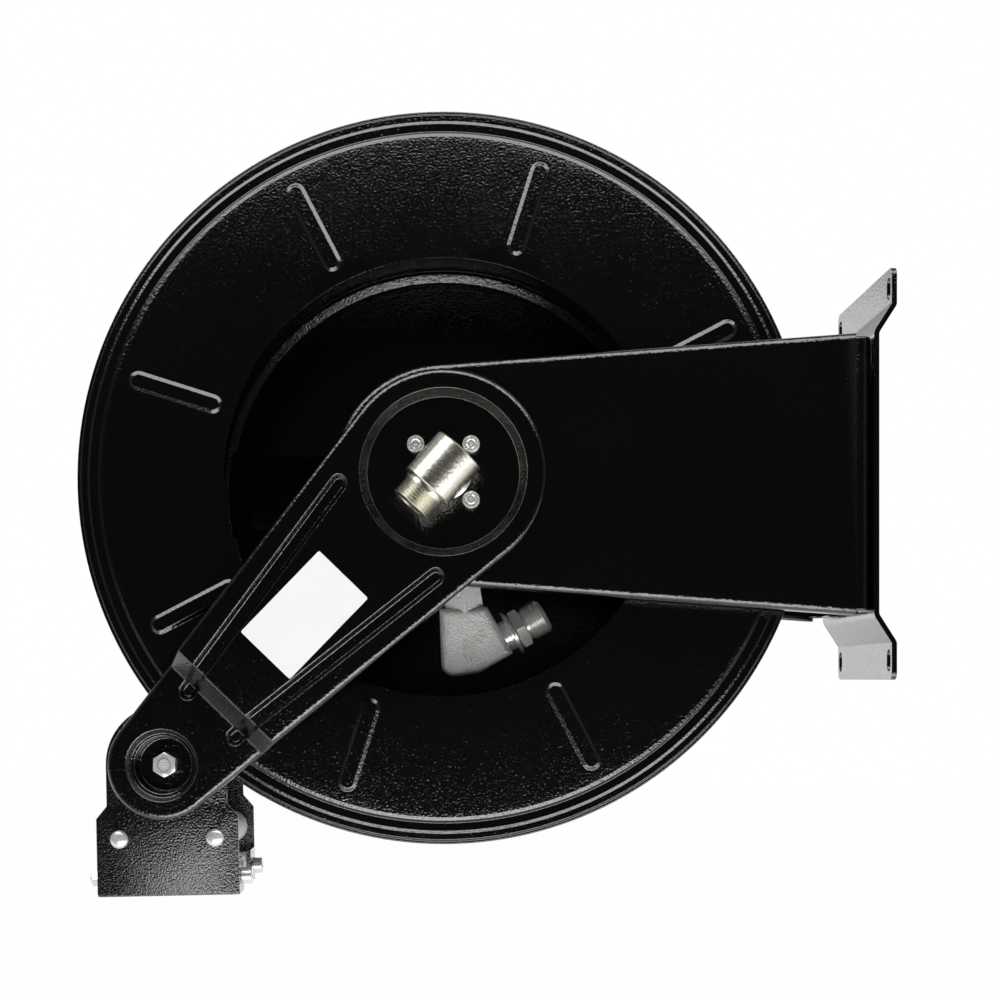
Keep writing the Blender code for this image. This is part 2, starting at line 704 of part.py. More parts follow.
def guide_arms():
    tip = (ARM_LENGTH, 0, 0)
    above = ARM_FACE + 2 * ARM_SHEET
    inner_face = ARM_FACE - ARM_SHEET
    cup_floor = ARM_FACE - TIP_CUP_DEPTH
    ledge = ARM_FACE - TIP_LEDGE_DEPTH
    shell = flat("arm_blank", arm_outline(0, 9), ARM_BACK, ARM_FACE, reel_axis)
    round_edges(shell, ARM_FACE, ARM_EDGE_ROUND, 2)
    cup_back = rod(
        "arm_cup_back",
        TIP_CUP_RADIUS + ARM_SHEET,
        cup_floor - ARM_SHEET,
        inner_face + ARM_SHEET / 2,
        ROUND,
        reel_axis,
        at=tip,
    )
    hollow = flat(
        "arm_hollow", arm_outline(ARM_SHEET, 9), ARM_BACK - ARM_SHEET, inner_face, reel_axis
    )
    round_edges(hollow, inner_face, ARM_EDGE_ROUND - ARM_SHEET, 1)
    dish_wall = turned(
        "arm_dish_wall",
        [
            (0, above),
            (HUB_DISH_RADIUS + ARM_SHEET, above),
            (HUB_DISH_RADIUS + ARM_SHEET, ARM_FACE),
            (HUB_DISH_FLOOR_RADIUS + ARM_SHEET, DISH_FLOOR),
            (HUB_DISH_FLOOR_RADIUS + ARM_SHEET, ARM_BACK - 2 * ARM_SHEET),
            (0, ARM_BACK - 2 * ARM_SHEET),
        ],
        ROUND,
        reel_axis,
    )
    ledge_wall = rod(
        "arm_ledge_wall",
        TIP_DISH_RADIUS + ARM_SHEET,
        ledge - ARM_SHEET,
        above,
        ROUND,
        reel_axis,
        at=tip,
    )
    cup_wall = rod(
        "arm_cup_wall",
        TIP_CUP_RADIUS + ARM_SHEET,
        cup_floor - 2 * ARM_SHEET,
        above,
        ROUND,
        reel_axis,
        at=tip,
    )
    walls = arm_grooves("arm_groove_wall", ARM_FACE - GROOVE_DEPTH - ARM_SHEET, ARM_SHEET * 0.8)
    cut(hollow, dish_wall, ledge_wall, cup_wall, *walls)
    dish = turned(
        "arm_dish",
        [
            (0, above),
            (HUB_DISH_RADIUS + ARM_SHEET, above),
            (HUB_DISH_RADIUS, ARM_FACE),
            (HUB_DISH_FLOOR_RADIUS, DISH_FLOOR),
            (0, DISH_FLOOR),
        ],
        ROUND,
        reel_axis,
    )
    cup = turned(
        "arm_cup",
        [
            (0, above),
            (TIP_DISH_RADIUS + ARM_SHEET, above),
            (TIP_DISH_RADIUS, ARM_FACE),
            (TIP_DISH_RADIUS - ARM_SHEET, ledge),
            (TIP_CUP_RADIUS + ARM_SHEET / 2, ledge),
            (TIP_CUP_RADIUS, ledge - ARM_SHEET / 2),
            (TIP_CUP_RADIUS, cup_floor),
            (0, cup_floor),
        ],
        ROUND,
        reel_axis,
        at=tip,
    )
    screw_holes = rods(
        "arm_screw_holes",
        screw_circle(ARM_ANGLE),
        bored(HUB_SCREW_RADIUS, TINY),
        ARM_BACK - ARM_SHEET,
        above,
        TINY,
        reel_axis,
    )
    hub_hole = rod(
        "arm_hub_hole", FLANGE_WALL_HOLE, ARM_BACK - ARM_SHEET, above, ROUND, reel_axis
    )
    bolt_hole = rod(
        "arm_bolt_hole",
        bored(PIVOT_BOLT_RADIUS, SMALL),
        cup_floor - 2 * ARM_SHEET,
        above,
        SMALL,
        reel_axis,
        at=tip,
    )
    join(shell, cup_back)
    grooves = arm_grooves("arm_groove", ARM_FACE - GROOVE_DEPTH, 0)
    cut(shell, hollow, dish, cup, *grooves, screw_holes, hub_hole, bolt_hole)
    mesh = settled(shell)
    jog(mesh, ARM_STEP_START, ARM_STEP_END, ARM_STEP)
    mesh.transform(Matrix.Rotation(ARM_ANGLE, 4, "Z"))
    pair("guide_arm", mesh, BLACK_COAT)
    block(
        "label_plate",
        (-LABEL_SIZE[0] / 2, -LABEL_SIZE[1] / 2, ARM_FACE + SEAT),
        (LABEL_SIZE[0] / 2, LABEL_SIZE[1] / 2, ARM_FACE + SEAT + LABEL_SHEET),
        reel_axis,
        WHITE_LABEL,
        at=(*rotated(LABEL_CENTRE, ARM_ANGLE), 0),
        rotation=(0, 0, ARM_ANGLE),
    )


# Hub: the near bearing flange, the fixed spring arbor on the far side, their bushes and screws.
def hub():
    flange_top = PANEL_FACE - PANEL_SHEET - SEAT
    bush_bore = bored(SHAFT_RADIUS, SHAFT_STEPS, RUN)
    bush_radius = bush_bore + BUSH_WALL
    bush_seat = bored(bush_radius, ROUND)
    flange = turned(
        "bearing_flange_near",
        [
            (bush_seat, flange_top),
            (FLANGE_RADIUS, flange_top),
            (FLANGE_RADIUS, flange_top - FLANGE_WIDTH),
            (bush_seat, flange_top - FLANGE_WIDTH),
        ],
        ROUND,
        reel_axis,
        ZINC,
    )
    arbor_inner = ARBOR_RADIUS - ARBOR_WALL
    arbor = turned(
        "spring_arbor",
        [
            (FLANGE_RADIUS, -flange_top),
            (FLANGE_RADIUS, FLANGE_WIDTH - flange_top),
            (ARBOR_RADIUS, FLANGE_WIDTH - flange_top),
            (ARBOR_RADIUS, -ARBOR_END),
            (arbor_inner, -ARBOR_END),
            (arbor_inner, FLANGE_WIDTH - flange_top),
            (bush_seat, FLANGE_WIDTH - flange_top),
            (bush_seat, -flange_top),
        ],
        ROUND,
        reel_axis,
        ZINC,
    )
    for side, plate, name in ((1, flange, "near"), (-1, arbor, "far")):
        taps = rods(
            f"hub_taps_{name}",
            screw_circle(0),
            bored(HUB_SCREW_RADIUS, TINY),
            side * (PANEL_FACE + PANEL_SHEET),
            side * (flange_top - FLANGE_WIDTH - PANEL_SHEET),
            TINY,
            reel_axis,
        )
        cut(plate, taps)
        turned(
            f"bearing_bush_{name}",
            [
                (bush_bore, side * flange_top),
                (bush_radius, side * flange_top),
                (bush_radius, side * (flange_top - FLANGE_WIDTH)),
                (bush_bore, side * (flange_top - FLANGE_WIDTH)),
            ],
            SHAFT_STEPS,
            reel_axis,
            BRONZE,
        )
        under_head = side * (DISH_FLOOR + SEAT)
        for i, (x, y) in enumerate(screw_circle(0)):
            turned(
                f"hub_screw_{name}_{i + 1}",
                [
                    (0, under_head + side * HUB_SCREW_HEAD),
                    (HUB_SCREW_HEAD_RADIUS, under_head + side * HUB_SCREW_HEAD),
                    (HUB_SCREW_HEAD_RADIUS, under_head),
                    (HUB_SCREW_RADIUS, under_head),
                    (HUB_SCREW_RADIUS, under_head - side * HUB_SCREW_LENGTH),
                    (0, under_head - side * HUB_SCREW_LENGTH),
                ],
                TINY,
                reel_axis,
                ZINC,
                at=(x, y, 0),
            )


# Drum discs: pressed sheet with eight hollow ribs, a groove and a rolled rim.
def disc_section(inner):
    bead = DISC_FLAT_END + RIM_GROOVE_WIDTH
    face = [
        (inner, 0),
        (DISC_FLAT_END, 0),
        (DISC_FLAT_END + RIM_GROOVE_WIDTH / 4, -RIM_GROOVE_DEPTH),
        (bead - RIM_GROOVE_WIDTH / 2, -RIM_GROOVE_DEPTH),
        (bead, 0),
        (bead + RIM_BEAD_WIDTH / 3, -RIM_GROOVE_DEPTH / 6),
        (bead + RIM_BEAD_WIDTH, -RIM_GROOVE_DEPTH),
        (DISC_RADIUS - RIM_ROLL_WIDTH, -RIM_GROOVE_DEPTH * 5 / 4),
        (DISC_RADIUS, -RIM_ROLL_DEPTH),
    ]
    return [(radius, DISC_FACE + height) for radius, height in sheet(face, DISC_SHEET)]


def disc_ribs(name, low, high, narrow, draft):
    """All the ribs' solids as one tool: proud of the disc for the ribs, narrower for their hollows."""
    ribs = bmesh.new()
    for i in range(RIB_COUNT):
        angle = RIB_FIRST + 2 * math.pi * i / RIB_COUNT
        ends = [polar(r, angle) for r in (RIB_INNER + RIB_WIDTH / 2, RIB_OUTER - RIB_WIDTH / 2)]
        rib = flat(f"{name}_{i}", slot(*ends, RIB_WIDTH - 2 * narrow, 3), low, high, reel_axis)
        round_edges(rib, high, draft, 1)
        ribs.from_mesh(rib.data)
        bpy.data.objects.remove(rib)
    mesh = bpy.data.meshes.new(name)
    ribs.to_mesh(mesh)
    ribs.free()
    return stand(name, mesh, drum_axis, (0, 0, 0), (0, 0, 0), None)


def drum_disc(name, inner):
    disc = turned(f"{name}_blank", disc_section(inner), FINE, drum_axis)
    ribs = disc_ribs(
        f"{name}_ribs", DISC_FACE - DISC_SHEET / 2, DISC_FACE + RIB_RISE, 0, RIB_RISE * 0.8
    )
    hollows = disc_ribs(
        f"{name}_rib_hollows",
        DISC_FACE - 3 * DISC_SHEET,
        DISC_FACE + RIB_RISE - DISC_SHEET,
        DISC_SHEET,
        RIB_RISE * 0.8,
    )
    join(disc, ribs)
    cut(disc, hollows)
    return settled(disc)


def drum_discs():
    near = drum_disc("drum_disc_near", DISC_OPENING)
    stand("drum_disc_near", near, drum_axis, (0, 0, 0), (0, 0, 0), BLACK_COAT)
    arbor_hole = ARBOR_RADIUS + 4 * RUN
    far = mirrored(drum_disc("drum_disc_far", arbor_hole), "drum_disc_far")
    stand("drum_disc_far", far, drum_axis, (0, 0, 0), (0, 0, 0), BLACK_COAT)


# Barrel that the hose winds on, with the hole its first turn comes out of.
def drum_barrel():
    end = DISC_FACE - DISC_SHEET - SEAT
    barrel = turned(
        "drum_barrel",
        [
            (BARREL_RADIUS, end),
            (BARREL_RADIUS, -end),
            (BARREL_RADIUS - BARREL_SHEET, -end),
            (BARREL_RADIUS - BARREL_SHEET, end),
        ],
        FINE,
        drum_axis,
        BLACK_COAT,
    )
    half_run = (HOSE_HOLE_LENGTH - HOSE_HOLE_WIDTH) / 2
    hole = flat(
        "hose_hole",
        slot((0, -half_run), (0, half_run), HOSE_HOLE_WIDTH, 6),
        BARREL_RADIUS / 2,
        BARREL_RADIUS * 1.1,
        drum_axis,
        at=(0, 0, RISER_HEIGHT),
        rotation=(0, math.pi / 2, HOSE_HOLE_ANGLE),
    )
    cut(barrel, hole)


# Cross member: the flat bar that ties the far disc to the spring case, raised between its end tabs.
def cross_member():
    back = DISC_SHEET + SEAT - DISC_FACE
    rows = (
        (CROSS_TAB_END, CROSS_TAB_WIDTH / 2),
        (CROSS_TAB_START, CROSS_TAB_WIDTH / 2),
        (CROSS_TAB_START, CROSS_WIDTH / 2),
    )
    right = [(x, -y) for x, y in reversed(rows)] + list(rows)
    outline = right + [(-x, -y) for x, y in right]
    bar = flat("cross_bar", outline, back, back + CROSS_SHEET, drum_axis)
    plate = rod("cross_plate", CROSS_HUB_RADIUS, back, back + CROSS_SHEET, ROUND, drum_axis)
    hole = rod(
        "cross_hole",
        ARBOR_RADIUS + 4 * RUN,
        back - CROSS_SHEET,
        back + 2 * CROSS_SHEET,
        ROUND,
        drum_axis,
    )
    join(bar, plate)
    cut(bar, hole)
    mesh = settled(bar)
    mesh.transform(Matrix.Translation((0, 0, CROSS_JOG)))
    foot = CROSS_TAB_START
    for side in (1, -1):
        jog(mesh, foot - CROSS_JOG, foot, CROSS_JOG, side)
    stand("drum_cross_member", mesh, drum_axis, (0, 0, 0), (0, 0, 0), BLACK_COAT)


# Main shaft: carries the drum, and its near half is bored for the water.
def main_shaft():
    collar_low = CASE_SHEET + SEAT - CASE_FRONT
    shaft = turned(
        "main_shaft",
        [
            (0, WATERWAY_FLOOR),
            (SHAFT_BORE, WATERWAY_FLOOR),
            (SHAFT_BORE, SHAFT_NEAR_END),
            (SHAFT_RADIUS, SHAFT_NEAR_END),
            (SHAFT_RADIUS, collar_low + SHAFT_COLLAR_WIDTH),
            (SHAFT_COLLAR_RADIUS, collar_low + SHAFT_COLLAR_WIDTH),
            (SHAFT_COLLAR_RADIUS, collar_low),
            (SHAFT_RADIUS, collar_low),
            (SHAFT_RADIUS, -SHAFT_FAR_END),
            (0, -SHAFT_FAR_END),
        ],
        SHAFT_STEPS,
        drum_axis,
        ZINC,
    )
    port = rod(
        "shaft_port",
        RISER_BORE - RUN,
        0,
        2 * SHAFT_RADIUS,
        SMALL,
        drum_axis,
        at=(0, 0, RISER_HEIGHT),
        rotation=along(RISER_ANGLE),
    )
    cut(shaft, port)


# Spring case: a drawn cup on the cross member, its cover on the shaft's collar, the spring inside.
def spring_case():
    back = DISC_SHEET + SEAT - DISC_FACE + CROSS_JOG + CROSS_SHEET + SEAT
    turned(
        "spring_case",
        [
            (ARBOR_RADIUS + 4 * RUN, back),
            (ARBOR_RADIUS + 4 * RUN, back + CASE_SHEET),
            (CASE_RADIUS - CASE_SHEET, back + CASE_SHEET),
            (CASE_RADIUS - CASE_SHEET, -CASE_FRONT - SEAT),
            (CASE_RADIUS, -CASE_FRONT - SEAT),
            (CASE_RADIUS, back + CASE_SHEET / 2),
            (CASE_RADIUS - CASE_SHEET / 2, back),
        ],
        CASE_STEPS,
        drum_axis,
        BLACK_COAT,
    )
    shaft_hole = bored(SHAFT_RADIUS, CASE_STEPS)
    turned(
        "spring_case_cover",
        [
            (shaft_hole, -CASE_FRONT),
            (shaft_hole, CASE_SHEET - CASE_FRONT),
            (CASE_RADIUS, CASE_SHEET - CASE_FRONT),
            (CASE_RADIUS, -CASE_FRONT),
        ],
        CASE_STEPS,
        drum_axis,
        BLACK_COAT,
    )
    low = back + CASE_SHEET + RUN
    high = -CASE_FRONT - RUN
    outer = (CASE_RADIUS - CASE_SHEET) * math.cos(math.pi / CASE_STEPS) - SEAT
    count = SPRING_TURNS * SPRING_STEPS
    path = [
        polar(SPRING_INNER + (outer - SPRING_INNER) * i / count, 2 * math.pi * i / SPRING_STEPS)
        for i in range(count + 1)
    ]
    outline = sheet(path, -SPRING_SHEET)
    flat("main_spring", outline, low, high, drum_axis, SPRING_STEEL)


# Ratchet: a notched ring on the far disc, and the pawl on its pin that drops into it.
def ratchet():
    top = -DISC_FACE - SEAT
    bottom = top - RATCHET_SHEET
    tip_radius = RATCHET_RADIUS - PAWL_TIP_INSIDE
    reach = math.hypot(*PAWL_PIVOT)
    bearing = math.atan2(PAWL_PIVOT[1], PAWL_PIVOT[0])
    at_hub = math.acos(
        (reach**2 + tip_radius**2 - PAWL_LENGTH**2) / (2 * reach * tip_radius)
    )
    at_pivot = math.acos(
        (reach**2 + PAWL_LENGTH**2 - tip_radius**2) / (2 * reach * PAWL_LENGTH)
    )
    at_rim = math.acos(
        (reach**2 + RATCHET_RADIUS**2 - PAWL_LENGTH**2) / (2 * reach * RATCHET_RADIUS)
    )
    stop_angle = bearing + at_rim + RUN / RATCHET_RADIUS
    outline = []
    for i in range(TOOTH_COUNT):
        stop = stop_angle + 2 * math.pi * i / TOOTH_COUNT
        land = 2 * math.pi / TOOTH_COUNT - TOOTH_SLOPE
        outline.append(polar(RATCHET_RADIUS - TOOTH_DEPTH, stop))
        outline += arc((0, 0), RATCHET_RADIUS, stop, stop + land, 2)
    ring = flat("ratchet_ring", outline, bottom, top, drum_axis, ZINC)
    bore = rod(
        "ratchet_bore", RATCHET_BORE, bottom - RATCHET_SHEET, top + RATCHET_SHEET, ROUND, drum_axis
    )
    cut(ring, bore)
    pawl_high = top - RUN
    pawl_low = pawl_high - RATCHET_SHEET
    rest = bearing + math.pi - at_pivot - PAWL_LIFT
    face = at_hub + at_pivot
    heel = (PAWL_LENGTH - PAWL_FACE * math.cos(face), -PAWL_FACE * math.sin(face))
    outline = arc((0, 0), PAWL_HUB_RADIUS, math.pi / 4, 3 * math.pi / 2, 8)
    outline += [(PAWL_LENGTH / 2, -PAWL_WIDTH), heel, (PAWL_LENGTH, 0)]
    outline += [(PAWL_LENGTH / 2, PAWL_WIDTH / 8)]
    pawl = flat(
        "pawl", outline, pawl_low, pawl_high, pawl_axis, ZINC, rotation=(0, 0, rest)
    )
    eye = rod(
        "pawl_eye",
        bored(PAWL_PIN_RADIUS, SMALL, RUN),
        pawl_low - RATCHET_SHEET,
        pawl_high + RATCHET_SHEET,
        SMALL,
        pawl_axis,
    )
    cut(pawl, eye)
    panel_inside = PANEL_SHEET + SEAT - PANEL_FACE
    turned(
        "pawl_pin",
        [
            (0, pawl_high),
            (PAWL_PIN_RADIUS, pawl_high),
            (PAWL_PIN_RADIUS, pawl_low - RUN),
            (PAWL_PIN_SHOULDER, pawl_low - RUN),
            (PAWL_PIN_SHOULDER, panel_inside),
            (0, panel_inside),
        ],
        SMALL,
        reel_axis,
        ZINC,
        at=(*PAWL_PIVOT, 0),
    )


# Waterway inside the drum: riser pipe, forged elbow, and the adapter that the hose screws on to.
def riser():
    riser = turned(
        "riser_pipe",
        [
            (RISER_BORE, RISER_END),
            (RISER_RADIUS, RISER_END),
            (RISER_RADIUS, 0),
            (RISER_BORE, 0),
        ],
        PIPE_STEPS,
        drum_axis,
        ZINC,
        at=(0, 0, RISER_HEIGHT),
        rotation=along(RISER_ANGLE),
    )
    saddle = rod(
        "riser_saddle",
        bored(SHAFT_RADIUS, SHAFT_STEPS),
        RISER_HEIGHT - 2 * RISER_RADIUS,
        RISER_HEIGHT + 2 * RISER_RADIUS,
        SHAFT_STEPS,
        drum_axis,
    )
    cut(riser, saddle)


def elbow():
    low = RISER_HEIGHT - ELBOW_DEPTH / 2
    high = RISER_HEIGHT + ELBOW_DEPTH / 2
    heel = arc(ELBOW_HEEL, ELBOW_HEEL_RADIUS, *ELBOW_HEEL_SIDES, 4)
    outline = [ELBOW_SHOULDER, *heel, ELBOW_UNDERSIDE, ELBOW_FACE_LOW, ELBOW_FACE_HIGH]
    body = flat("elbow", outline, low, high, drum_axis, FORGED_STEEL)
    round_edges(body, high, ELBOW_ROUND, 2)
    round_edges(body, low, ELBOW_ROUND, 2)
    neck = rod(
        "elbow_neck",
        ELBOW_NECK_RADIUS,
        ELBOW_NECK,
        RISER_END + ELBOW_DEPTH / 2,
        6,
        drum_axis,
        at=(0, 0, RISER_HEIGHT),
        rotation=along(RISER_ANGLE),
    )
    socket = rod(
        "elbow_socket",
        bored(RISER_RADIUS, PIPE_STEPS),
        ELBOW_NECK - RUN * 3,
        RISER_END + SEAT,
        PIPE_STEPS,
        drum_axis,
        at=(0, 0, RISER_HEIGHT),
        rotation=along(RISER_ANGLE),
    )
    across = Vector(polar(1, NIPPLE_ANGLE))
    down = Vector(polar(1, RISER_ANGLE))
    start = Vector(NIPPLE_START)
    spread = across.x * down.y - across.y * down.x
    meet = (start.x * across.y - start.y * across.x) / -spread
    down_bore = rod(
        "elbow_down_bore",
        RISER_BORE,
        RISER_END - RUN,
        meet + RISER_BORE / 2,
        SMALL,
        drum_axis,
        at=(0, 0, RISER_HEIGHT),
        rotation=along(RISER_ANGLE),
    )
    side_bore = rod(
        "elbow_side_bore",
        bored(NIPPLE_ROOT_RADIUS, PIPE_STEPS),
        -(start - down * meet).length,
        RISER_BORE * 2,
        PIPE_STEPS,
        drum_axis,
        at=(*NIPPLE_START, RISER_HEIGHT),
        rotation=along(NIPPLE_ANGLE),
    )
    join(body, neck)
    cut(body, socket, down_bore, side_bore)
    hex_low, hex_high = NIPPLE_HEX_SPAN
    adapter = turned(
        "outlet_adapter",
        [
            (0, NIPPLE_END),
            (NIPPLE_THREAD_RADIUS - THREAD_CHAMFER, NIPPLE_END),
            (NIPPLE_THREAD_RADIUS, NIPPLE_END - THREAD_CHAMFER),
            (NIPPLE_THREAD_RADIUS, hex_high + NIPPLE_NECK),
            (NIPPLE_ROOT_RADIUS, hex_high + NIPPLE_NECK / 2),
            (NIPPLE_ROOT_RADIUS, -NIPPLE_ROOT_RADIUS),
            (0, -NIPPLE_ROOT_RADIUS),
        ],
        PIPE_STEPS,
        drum_axis,
        ZINC,
        at=(*NIPPLE_START, RISER_HEIGHT),
        rotation=along(NIPPLE_ANGLE),
    )
    collar = rod(
        "adapter_hex",
        NIPPLE_HEX_RADIUS,
        hex_low,
        hex_high,
        6,
        drum_axis,
        at=(*NIPPLE_START, RISER_HEIGHT),
        rotation=along(NIPPLE_ANGLE),
    )
    bore = rod(
        "adapter_bore",
        NIPPLE_BORE,
        -2 * NIPPLE_ROOT_RADIUS,
        2 * NIPPLE_END,
        PIPE_STEPS,
        drum_axis,
        at=(*NIPPLE_START, RISER_HEIGHT),
        rotation=along(NIPPLE_ANGLE),
    )
    join(adapter, collar)
    cut(adapter, bore)
    washer_high = hex_low - SEAT
    turned(
        "adapter_washer",
        [
            (bored(NIPPLE_ROOT_RADIUS, SHAFT_STEPS), washer_high),
            (WASHER_RADIUS, washer_high),
            (WASHER_RADIUS, washer_high - WASHER_SHEET),
            (bored(NIPPLE_ROOT_RADIUS, SHAFT_STEPS), washer_high - WASHER_SHEET),
        ],
        SHAFT_STEPS,
        drum_axis,
        ZINC,
        at=(*NIPPLE_START, RISER_HEIGHT),
        rotation=along(NIPPLE_ANGLE),
    )


# Swivel inlet: a body that turns on the shaft's end, with a threaded port at its side.
def swivel():
    body = turned(
        "swivel_body",
        [
            (0, SWIVEL_LENGTH / 2),
            (SWIVEL_RADIUS - SWIVEL_CHAMFER, SWIVEL_LENGTH / 2),
            (SWIVEL_RADIUS, SWIVEL_LENGTH / 2 - SWIVEL_CHAMFER),
            (SWIVEL_RADIUS, SWIVEL_CHAMFER - SWIVEL_LENGTH / 2),
            (SWIVEL_RADIUS - SWIVEL_CHAMFER, -SWIVEL_LENGTH / 2),
            (0, -SWIVEL_LENGTH / 2),
        ],
        ROUND,
        inlet_axis,
        NICKEL,
        at=(0, 0, SWIVEL_HEIGHT),
        rotation=along(SWIVEL_ANGLE),
    )
    boss_high = SWIVEL_HEIGHT - SWIVEL_RADIUS + SWIVEL_BOSS_OVERLAP
    boss = rod("swivel_boss", SWIVEL_BOSS_RADIUS, SWIVEL_BOSS_LOW, boss_high, ROUND, inlet_axis)
    socket = rod(
        "swivel_socket",
        bored(SHAFT_RADIUS, SHAFT_STEPS, RUN),
        SWIVEL_BOSS_LOW - RUN,
        SHAFT_NEAR_END + RUN,
        SHAFT_STEPS,
        inlet_axis,
    )
    well = rod(
        "swivel_well",
        SHAFT_BORE,
        SWIVEL_BOSS_LOW,
        SWIVEL_HEIGHT + SHAFT_BORE,
        SMALL,
        inlet_axis,
    )
    port_seat = rod(
        "swivel_port_seat",
        bored(PORT_SOCKET_RADIUS, SHAFT_STEPS),
        SWIVEL_LENGTH / 2 - PORT_SOCKET_DEPTH,
        SWIVEL_LENGTH,
        SHAFT_STEPS,
        inlet_axis,
        at=(0, 0, SWIVEL_HEIGHT),
        rotation=along(SWIVEL_ANGLE),
    )
    passage = rod(
        "swivel_passage",
        SHAFT_BORE,
        0,
        SWIVEL_LENGTH,
        SMALL,
        inlet_axis,
        at=(0, 0, SWIVEL_HEIGHT),
        rotation=along(SWIVEL_ANGLE),
    )
    join(body, boss)
    cut(body, socket, well, port_seat, passage)
    out = SWIVEL_LENGTH / 2 + SEAT
    turned(
        "swivel_port",
        [
            (PORT_BORE, PORT_END),
            (PORT_THREAD_RADIUS - THREAD_CHAMFER, PORT_END),
            (PORT_THREAD_RADIUS, PORT_END - THREAD_CHAMFER),
            (PORT_THREAD_RADIUS, out + PORT_NECK),
            (PORT_NECK_RADIUS, out + PORT_NECK / 2),
            (PORT_NECK_RADIUS, out),
            (PORT_SOCKET_RADIUS, out),
            (PORT_SOCKET_RADIUS, SWIVEL_LENGTH / 2 - PORT_SOCKET_DEPTH + SEAT),
            (PORT_BORE, SWIVEL_LENGTH / 2 - PORT_SOCKET_DEPTH + SEAT),
        ],
        SHAFT_STEPS,
        inlet_axis,
        NICKEL,
        at=(0, 0, SWIVEL_HEIGHT),
        rotation=along(SWIVEL_ANGLE),
    )


# Outlet box: two plates hung on the arm tips, four nylon rollers round the hose's way out.
def box_outline():
    head = BOX_NECK_HALF_WIDTH
    right = [
        (BOX_HALF_WIDTH, -BOX_BOTTOM),
        (BOX_HALF_WIDTH, -BOX_SHOULDER_LOW),
        (head, -BOX_SHOULDER_HIGH),
    ]
    left = [(-x, y) for x, y in reversed(right)]
    return right + arc((0, 0), head, 0, math.pi, 16) + left


def outlet_box():
    inner = BOX_OUTER - BOX_SHEET
    plate = flat("box_plate_blank", box_outline(), inner, BOX_OUTER, outlet_axis)
    round_edges(plate, BOX_OUTER, BOX_SHEET / 3, 1)
    tabs = []
    for side in (-1, 1):
        near, far = side * (BOX_HALF_WIDTH - BOX_SHEET), side * BOX_HALF_WIDTH
        tab = block(
            f"box_tab_{side}",
            (min(near, far), -BOX_BOTTOM, inner - TAB_DEPTH),
            (max(near, far), -TAB_TOP, inner + BOX_SHEET / 2),
            outlet_axis,
        )
        tabs.append(tab)
    pivot_hole = rod(
        "box_pivot_hole",
        bored(PIVOT_BOLT_RADIUS, SMALL),
        inner - BOX_SHEET,
        BOX_OUTER + BOX_SHEET,
        SMALL,
        outlet_axis,
        at=(-BOX_CENTRE, 0, 0),
    )
    axle_spots = [(side * ROLLER_SPACING / 2, -ROLLER_DROP) for side in (-1, 1)]
    axle_holes = rods(
        "box_axle_holes",
        axle_spots,
        bored(AXLE_RADIUS, TINY),
        inner - BOX_SHEET,
        BOX_OUTER + BOX_SHEET,
        TINY,
        outlet_axis,
    )
    bolt_hole = rod(
        "box_bolt_hole",
        bored(CROSS_BOLT_RADIUS, TINY),
        -2 * BOX_HALF_WIDTH,
        2 * BOX_HALF_WIDTH,
        TINY,
        outlet_axis,
        at=(0, -CROSS_ROLLER_DROP, CROSS_ROLLER_HEIGHT),
        rotation=along(0),
    )
    join(plate, *tabs)
    cut(plate, pivot_hole, axle_holes, bolt_hole)
    mesh = settled(plate)
    mesh.transform(Matrix.Translation((BOX_CENTRE, 0, 0)))
    pair("box_plate", mesh, BLACK_COAT, outlet_axis)
    for x, y, name in ((*spot, name) for spot, name in zip(axle_spots, ("left", "right"))):
        upright_roller(name, x + BOX_CENTRE, y)
    for side, name in ((1, "near"), (-1, "far")):
        cross_roller(name, side)
        pivot_bolt(name, side)


def upright_roller(name, x, y):
    under_head = BOX_OUTER + SEAT
    end = -BOX_OUTER - AXLE_HEAD - SEAT
    turned(
        f"roller_axle_{name}",
        [
            (0, under_head + AXLE_HEAD),
            (AXLE_HEAD_RADIUS * 0.6, under_head + AXLE_HEAD * 0.85),
            (AXLE_HEAD_RADIUS, under_head + AXLE_HEAD * 0.3),
            (AXLE_HEAD_RADIUS, under_head),
            (AXLE_RADIUS, under_head),
            (AXLE_RADIUS, end),
            (0, end),
        ],
        SMALL,
        outlet_axis,
        BRIGHT_STEEL,
        at=(x, y, 0),
    )
    turned(
        f"axle_clip_{name}",
        [
            (bored(AXLE_RADIUS, SMALL), -under_head),
            (AXLE_HEAD_RADIUS, -under_head),
            (AXLE_HEAD_RADIUS, -under_head - AXLE_HEAD / 2),
            (bored(AXLE_RADIUS, SMALL), -under_head - AXLE_HEAD / 2),
        ],
        SMALL,
        outlet_axis,
        BRIGHT_STEEL,
        at=(x, y, 0),
    )
    spin = empty(f"roller_{name}_axis", outlet_axis, (x, y, 0))
    half = BOX_OUTER - BOX_SHEET - RUN
    section = roller_section(ROLLER_RADIUS, AXLE_RADIUS, half)
    turned(f"roller_{name}", section, ROLLER_STEPS, spin, NYLON)


def roller_section(radius, axle, half):
    bevel = radius / 8
    eye = bored(axle, ROLLER_STEPS, RUN)
    return [
        (eye, half),
        (radius - bevel, half),
        (radius, half - bevel),
        (radius, bevel - half),
        (radius - bevel, -half),
        (eye, -half),
    ]


